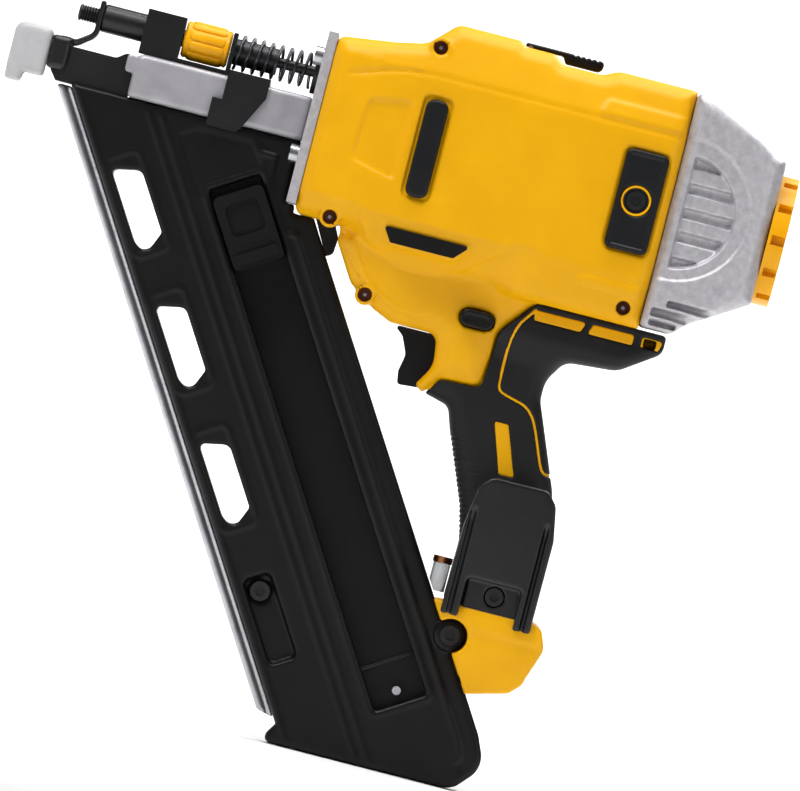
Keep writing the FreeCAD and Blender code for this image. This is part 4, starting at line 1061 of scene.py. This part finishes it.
# %% Belt hook
low, cell, x, y, z = grid((252.0, -35.5, -203.0), (298.0, -16.0, -134.0), 0.55, 0.9)
hook_line = [(262, -136, 5), (288, -136, 5), (293, -142, 6), (296, -158, 8), (295.6, -201.4, 1),
             (287.4, -201.4, 1), (287.6, -183, 2), (262, -183, 2), (261.8, -201.4, 1),
             (253.6, -201.4, 1), (254.4, -160, 8), (257, -141, 5)]
flat = drawn(hook_line, x, z)
below = ramp_to(-z, 150, 157)
gaps = bead(x - 257.3, 0.9, 1.5) + bead(x - 291.5, 0.8, 1.4)
front = 34.2 - below * 2.6 * np.clip(gaps, 0, 1)
hook = both(both(flat, -y - front, 1.6), y + 30.6, 0.6)
ribs = any_of(np.abs(x - 254.8) - 1.25, np.abs(x - 260.2) - 1.6, np.abs(x - 288.8) - 1.6,
              np.abs(x - 294.2) - 1.6)
legs = both(both(both(ribs, flat, 0.5), -y - 34.2, 1.2), np.maximum(y + 24.0, z + 152), 0.8)
root_line = [(262.5, -180, 1), (287, -180, 1), (287, -199.5, 3), (262.5, -199.5, 3)]
root = both(both(drawn(root_line, x, z), -y - 30.0, 0.8), y + 17.1, 0.6)
hook = either(np.minimum(hook, legs), root, 1.2)
hook = without(hook, np.maximum(around(HOOK_SCREW, x, z) - 4.6, y + 24), 0.5)
hook_piece = laid_mesh("belt_hook_plate", hook, low, cell, black_steel)
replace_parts(hook_piece, "belt_hook")

# %% [markdown]
# ## The stall lever
# The lever on top frees the driver after a stall. Ridges across it give the finger a hold.

# %% Stall lever
low, cell, x, y, z = grid((225.5, -11.0, 53.0), (266.0, 11.0, 61.0), 0.45, 0.8)
ridges = bead(((x - 249.5) / 2.6) % 1.0 - 0.5, 0.10, 0.28)
top = 60.0 - 0.7 * ridges * ramp_to(x, 249, 250) * (1 - ramp_to(x, 262.5, 263.5))
lever_line = [(227.6, 60, 1.2), (264.5, 60, 2), (264.5, 54.8, 2.5), (247.2, 54.8, 1.5),
              (245.6, 57.9, 1), (227.6, 57.9, 1)]
lever = drawn(lever_line, x, z)
lever = both(both(lever, z - top, 0.6), np.abs(y) - 9.8, 1.2)
lever_piece = laid_mesh("stall_lever_ridged", lever, low, cell, black_nylon, "stall_lever_body")
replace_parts(lever_piece, "stall_lever")

# %% [markdown]
# ## The lock-off button
# The oval button slides across the tool behind the trigger, with a wider waist that stays inside.

# %% Lock-off button
low, cell, x, y, z = grid((226.0, -29.5, -76.0), (248.0, 29.5, -61.0), 0.5, 0.8)
oval = drawn(BUTTON, x, z)
button = both(oval, np.abs(y) - 28.5 + 0.6 * ramp_to(-oval, 0.8, 3.0), 1.6)
button = either(button, both(oval - 1.4, np.abs(y) - 14.0, 1.0), 0.8)
button_piece = laid_mesh("lockoff_button_oval", button, low, cell, black_nylon, "lockoff_body")
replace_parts(button_piece, "lockoff_button")

# %% [markdown]
# ## The CAD parts that keep their shape
# Every other part is shown as the CAD gives it, with its own finish.

# %% Finishes of the CAD parts
FINISH = [
    (amber_nylon, "housing_left housing_right"),
    (grip_rubber, "overmould_left overmould_right"),
    (bright_steel, "casing_screws flange_bolts trip_rod guide_rods flywheel flywheel_axle "
                   "pinch_roller pinch_pin solenoid_plunger stall_lever_pin pusher_stop_pin"),
    (bumper_rubber, "side_bumpers_front side_bumpers_rear driver_bumper"),
    (yellow_acetal, "bumper_washers rear_bumper_ring depth_wheel"),
    (black_steel, "bumper_screws channel_nose contact_tip trip_cradle trip_strap trip_plunger "
                  "spring_seat pinch_arm solenoid magazine_screw foot_bolt belt_hook hook_screw"),
    (black_nylon, "blank_plates trigger trigger_switch lockoff_button stall_lever magazine_left "
                  "magazine_right magazine_bracket pusher terminal_block"),
    (cast_metal, "rear_cap front_flange inner_frame"),
    (nose_steel, "nosepiece driver"),
    (milky_elastomer, "no_mar_pad"),
    (spring_steel, "trip_spring return_springs trigger_spring pusher_spring"),
    (lamination, "motor_stator"),
    (rail_steel, "magazine_rail"),
    (copper, "terminal_blades led_ring"),
    (circuit_board, "control_board"),
    (clear_lens, "led_lens")]
finished = 0
for made, names in FINISH:
    for name in names.split():
        shown = NODES[name]
        if not shown.material_slots:
            shown.data.materials.append(made)
        for part_slot in shown.material_slots:
            part_slot.material = made
        finished += 1
print("finished", finished, "CAD parts")

# %% [markdown]
# ## The floor
# The tool stands on the flat end of its magazine, on white paper that curves up behind it.

# %% Floor
def floor_sheet():
    """A wide sheet of paper that curves up a little way behind the tool and at its nose end."""
    flat_to, bend, reach, arc, strips, strip_angle = 1.6, 1.2, 6.0, 12, 10, 6.5
    base = cad_box[0][2] - 0.0005
    points = [(reach, -reach, base), (-flat_to, -reach, base), (-flat_to, flat_to, base),
              (reach, flat_to, base)]
    faces = [(0, 3, 2, 1)]
    rows = []
    for k in range(1, strips + 1):
        out = bend * math.sin(math.radians(strip_angle * k))
        rise = bend * (1 - math.cos(math.radians(strip_angle * k)))
        row = [(reach, flat_to + out)]
        for step in range(arc + 1):
            angle = math.pi * step / (2 * arc)
            row.append((-flat_to - out * math.sin(angle), flat_to + out * math.cos(angle)))
        row.append((-flat_to - out, -reach))
        rows.append([len(points) + t for t in range(len(row))])
        points += [(px, py, base + rise) for px, py in row]
    first = [3] + [2] * (arc + 1) + [1]
    for low_row, high_row in zip([first] + rows, rows):
        for t in range(arc + 2):
            ring = [low_row[t], high_row[t], high_row[t + 1], low_row[t + 1]]
            faces.append(tuple(dict.fromkeys(ring)))
    mesh = bpy.data.meshes.new("floor")
    mesh.from_pydata(points, [], faces)
    mesh.polygons.foreach_set("use_smooth", [k > 0 for k in range(len(faces))])
    made = linked("floor", mesh, grained("studio_paper", "#FBFBFB", "#F8F8F8", 0.9, 2.0, 0.0))
    print("floor faces", len(faces))


floor_sheet()

# %% [markdown]
# ## The light
# Large soft lights above and in front give broad highlights, and one long light brightens the paper.

# %% Lights and world
def soft_light(name, at, size, power, aim=(0.19, 0.0, -0.10)):
    """A rectangular light in metres and watts, turned towards the tool."""
    data = bpy.data.lights.new(name, "AREA")
    data.shape = "RECTANGLE"
    data.size, data.size_y = size
    data.energy = power
    made = linked(name, data)
    print(name, power, "W")
    made.location = at
    made.rotation_euler = (Vector(aim) - made.location).to_track_quat("-Z", "Y").to_euler()


soft_light("key_light", (-0.70, -1.05, 1.55), (0.8, 0.6), 23)
soft_light("fill_light", (1.9, -1.5, 0.35), (0.4, 1.2), 6)
soft_light("top_light", (0.25, -0.35, 1.7), (1.4, 0.5), 24)
soft_light("rear_light", (0.9, 1.3, 1.2), (0.9, 0.7), 15)
soft_light("backdrop_light", (0.2, 0.8, 2.3), (3.5, 0.8), 105, aim=(0.2, 2.8, 0.6))
world = bpy.data.worlds.new("studio")
world.use_nodes = True
sky = world.node_tree.nodes["Background"].inputs
sky["Color"].default_value = linear("#FFFFFF")
sky["Strength"].default_value = 0.16
bpy.context.scene.world = world
bpy.context.scene.view_settings.view_transform = "Standard"

# %% [markdown]
# ## The camera
# The camera looks straight at the left side, rolled so that the nose points up a little.

# %% Camera
ROLL = math.radians(14.4)
CAMERA_AT = Vector((0.2117, -6.0, -0.1107))
camera_data = bpy.data.cameras.new("camera")
camera_data.lens = 590.8
camera_data.sensor_width = 36.0
camera_data.clip_end = 50.0
camera = linked("camera", camera_data)
right = Vector((math.cos(ROLL), 0, math.sin(ROLL)))
up = Vector((-math.sin(ROLL), 0, math.cos(ROLL)))
back = Vector((0, -1, 0))
turn = Matrix((right, up, back)).transposed().to_4x4()
camera.matrix_world = Matrix.Translation(CAMERA_AT) @ turn
bpy.context.scene.camera = camera
print("camera at", tuple(CAMERA_AT), "m")
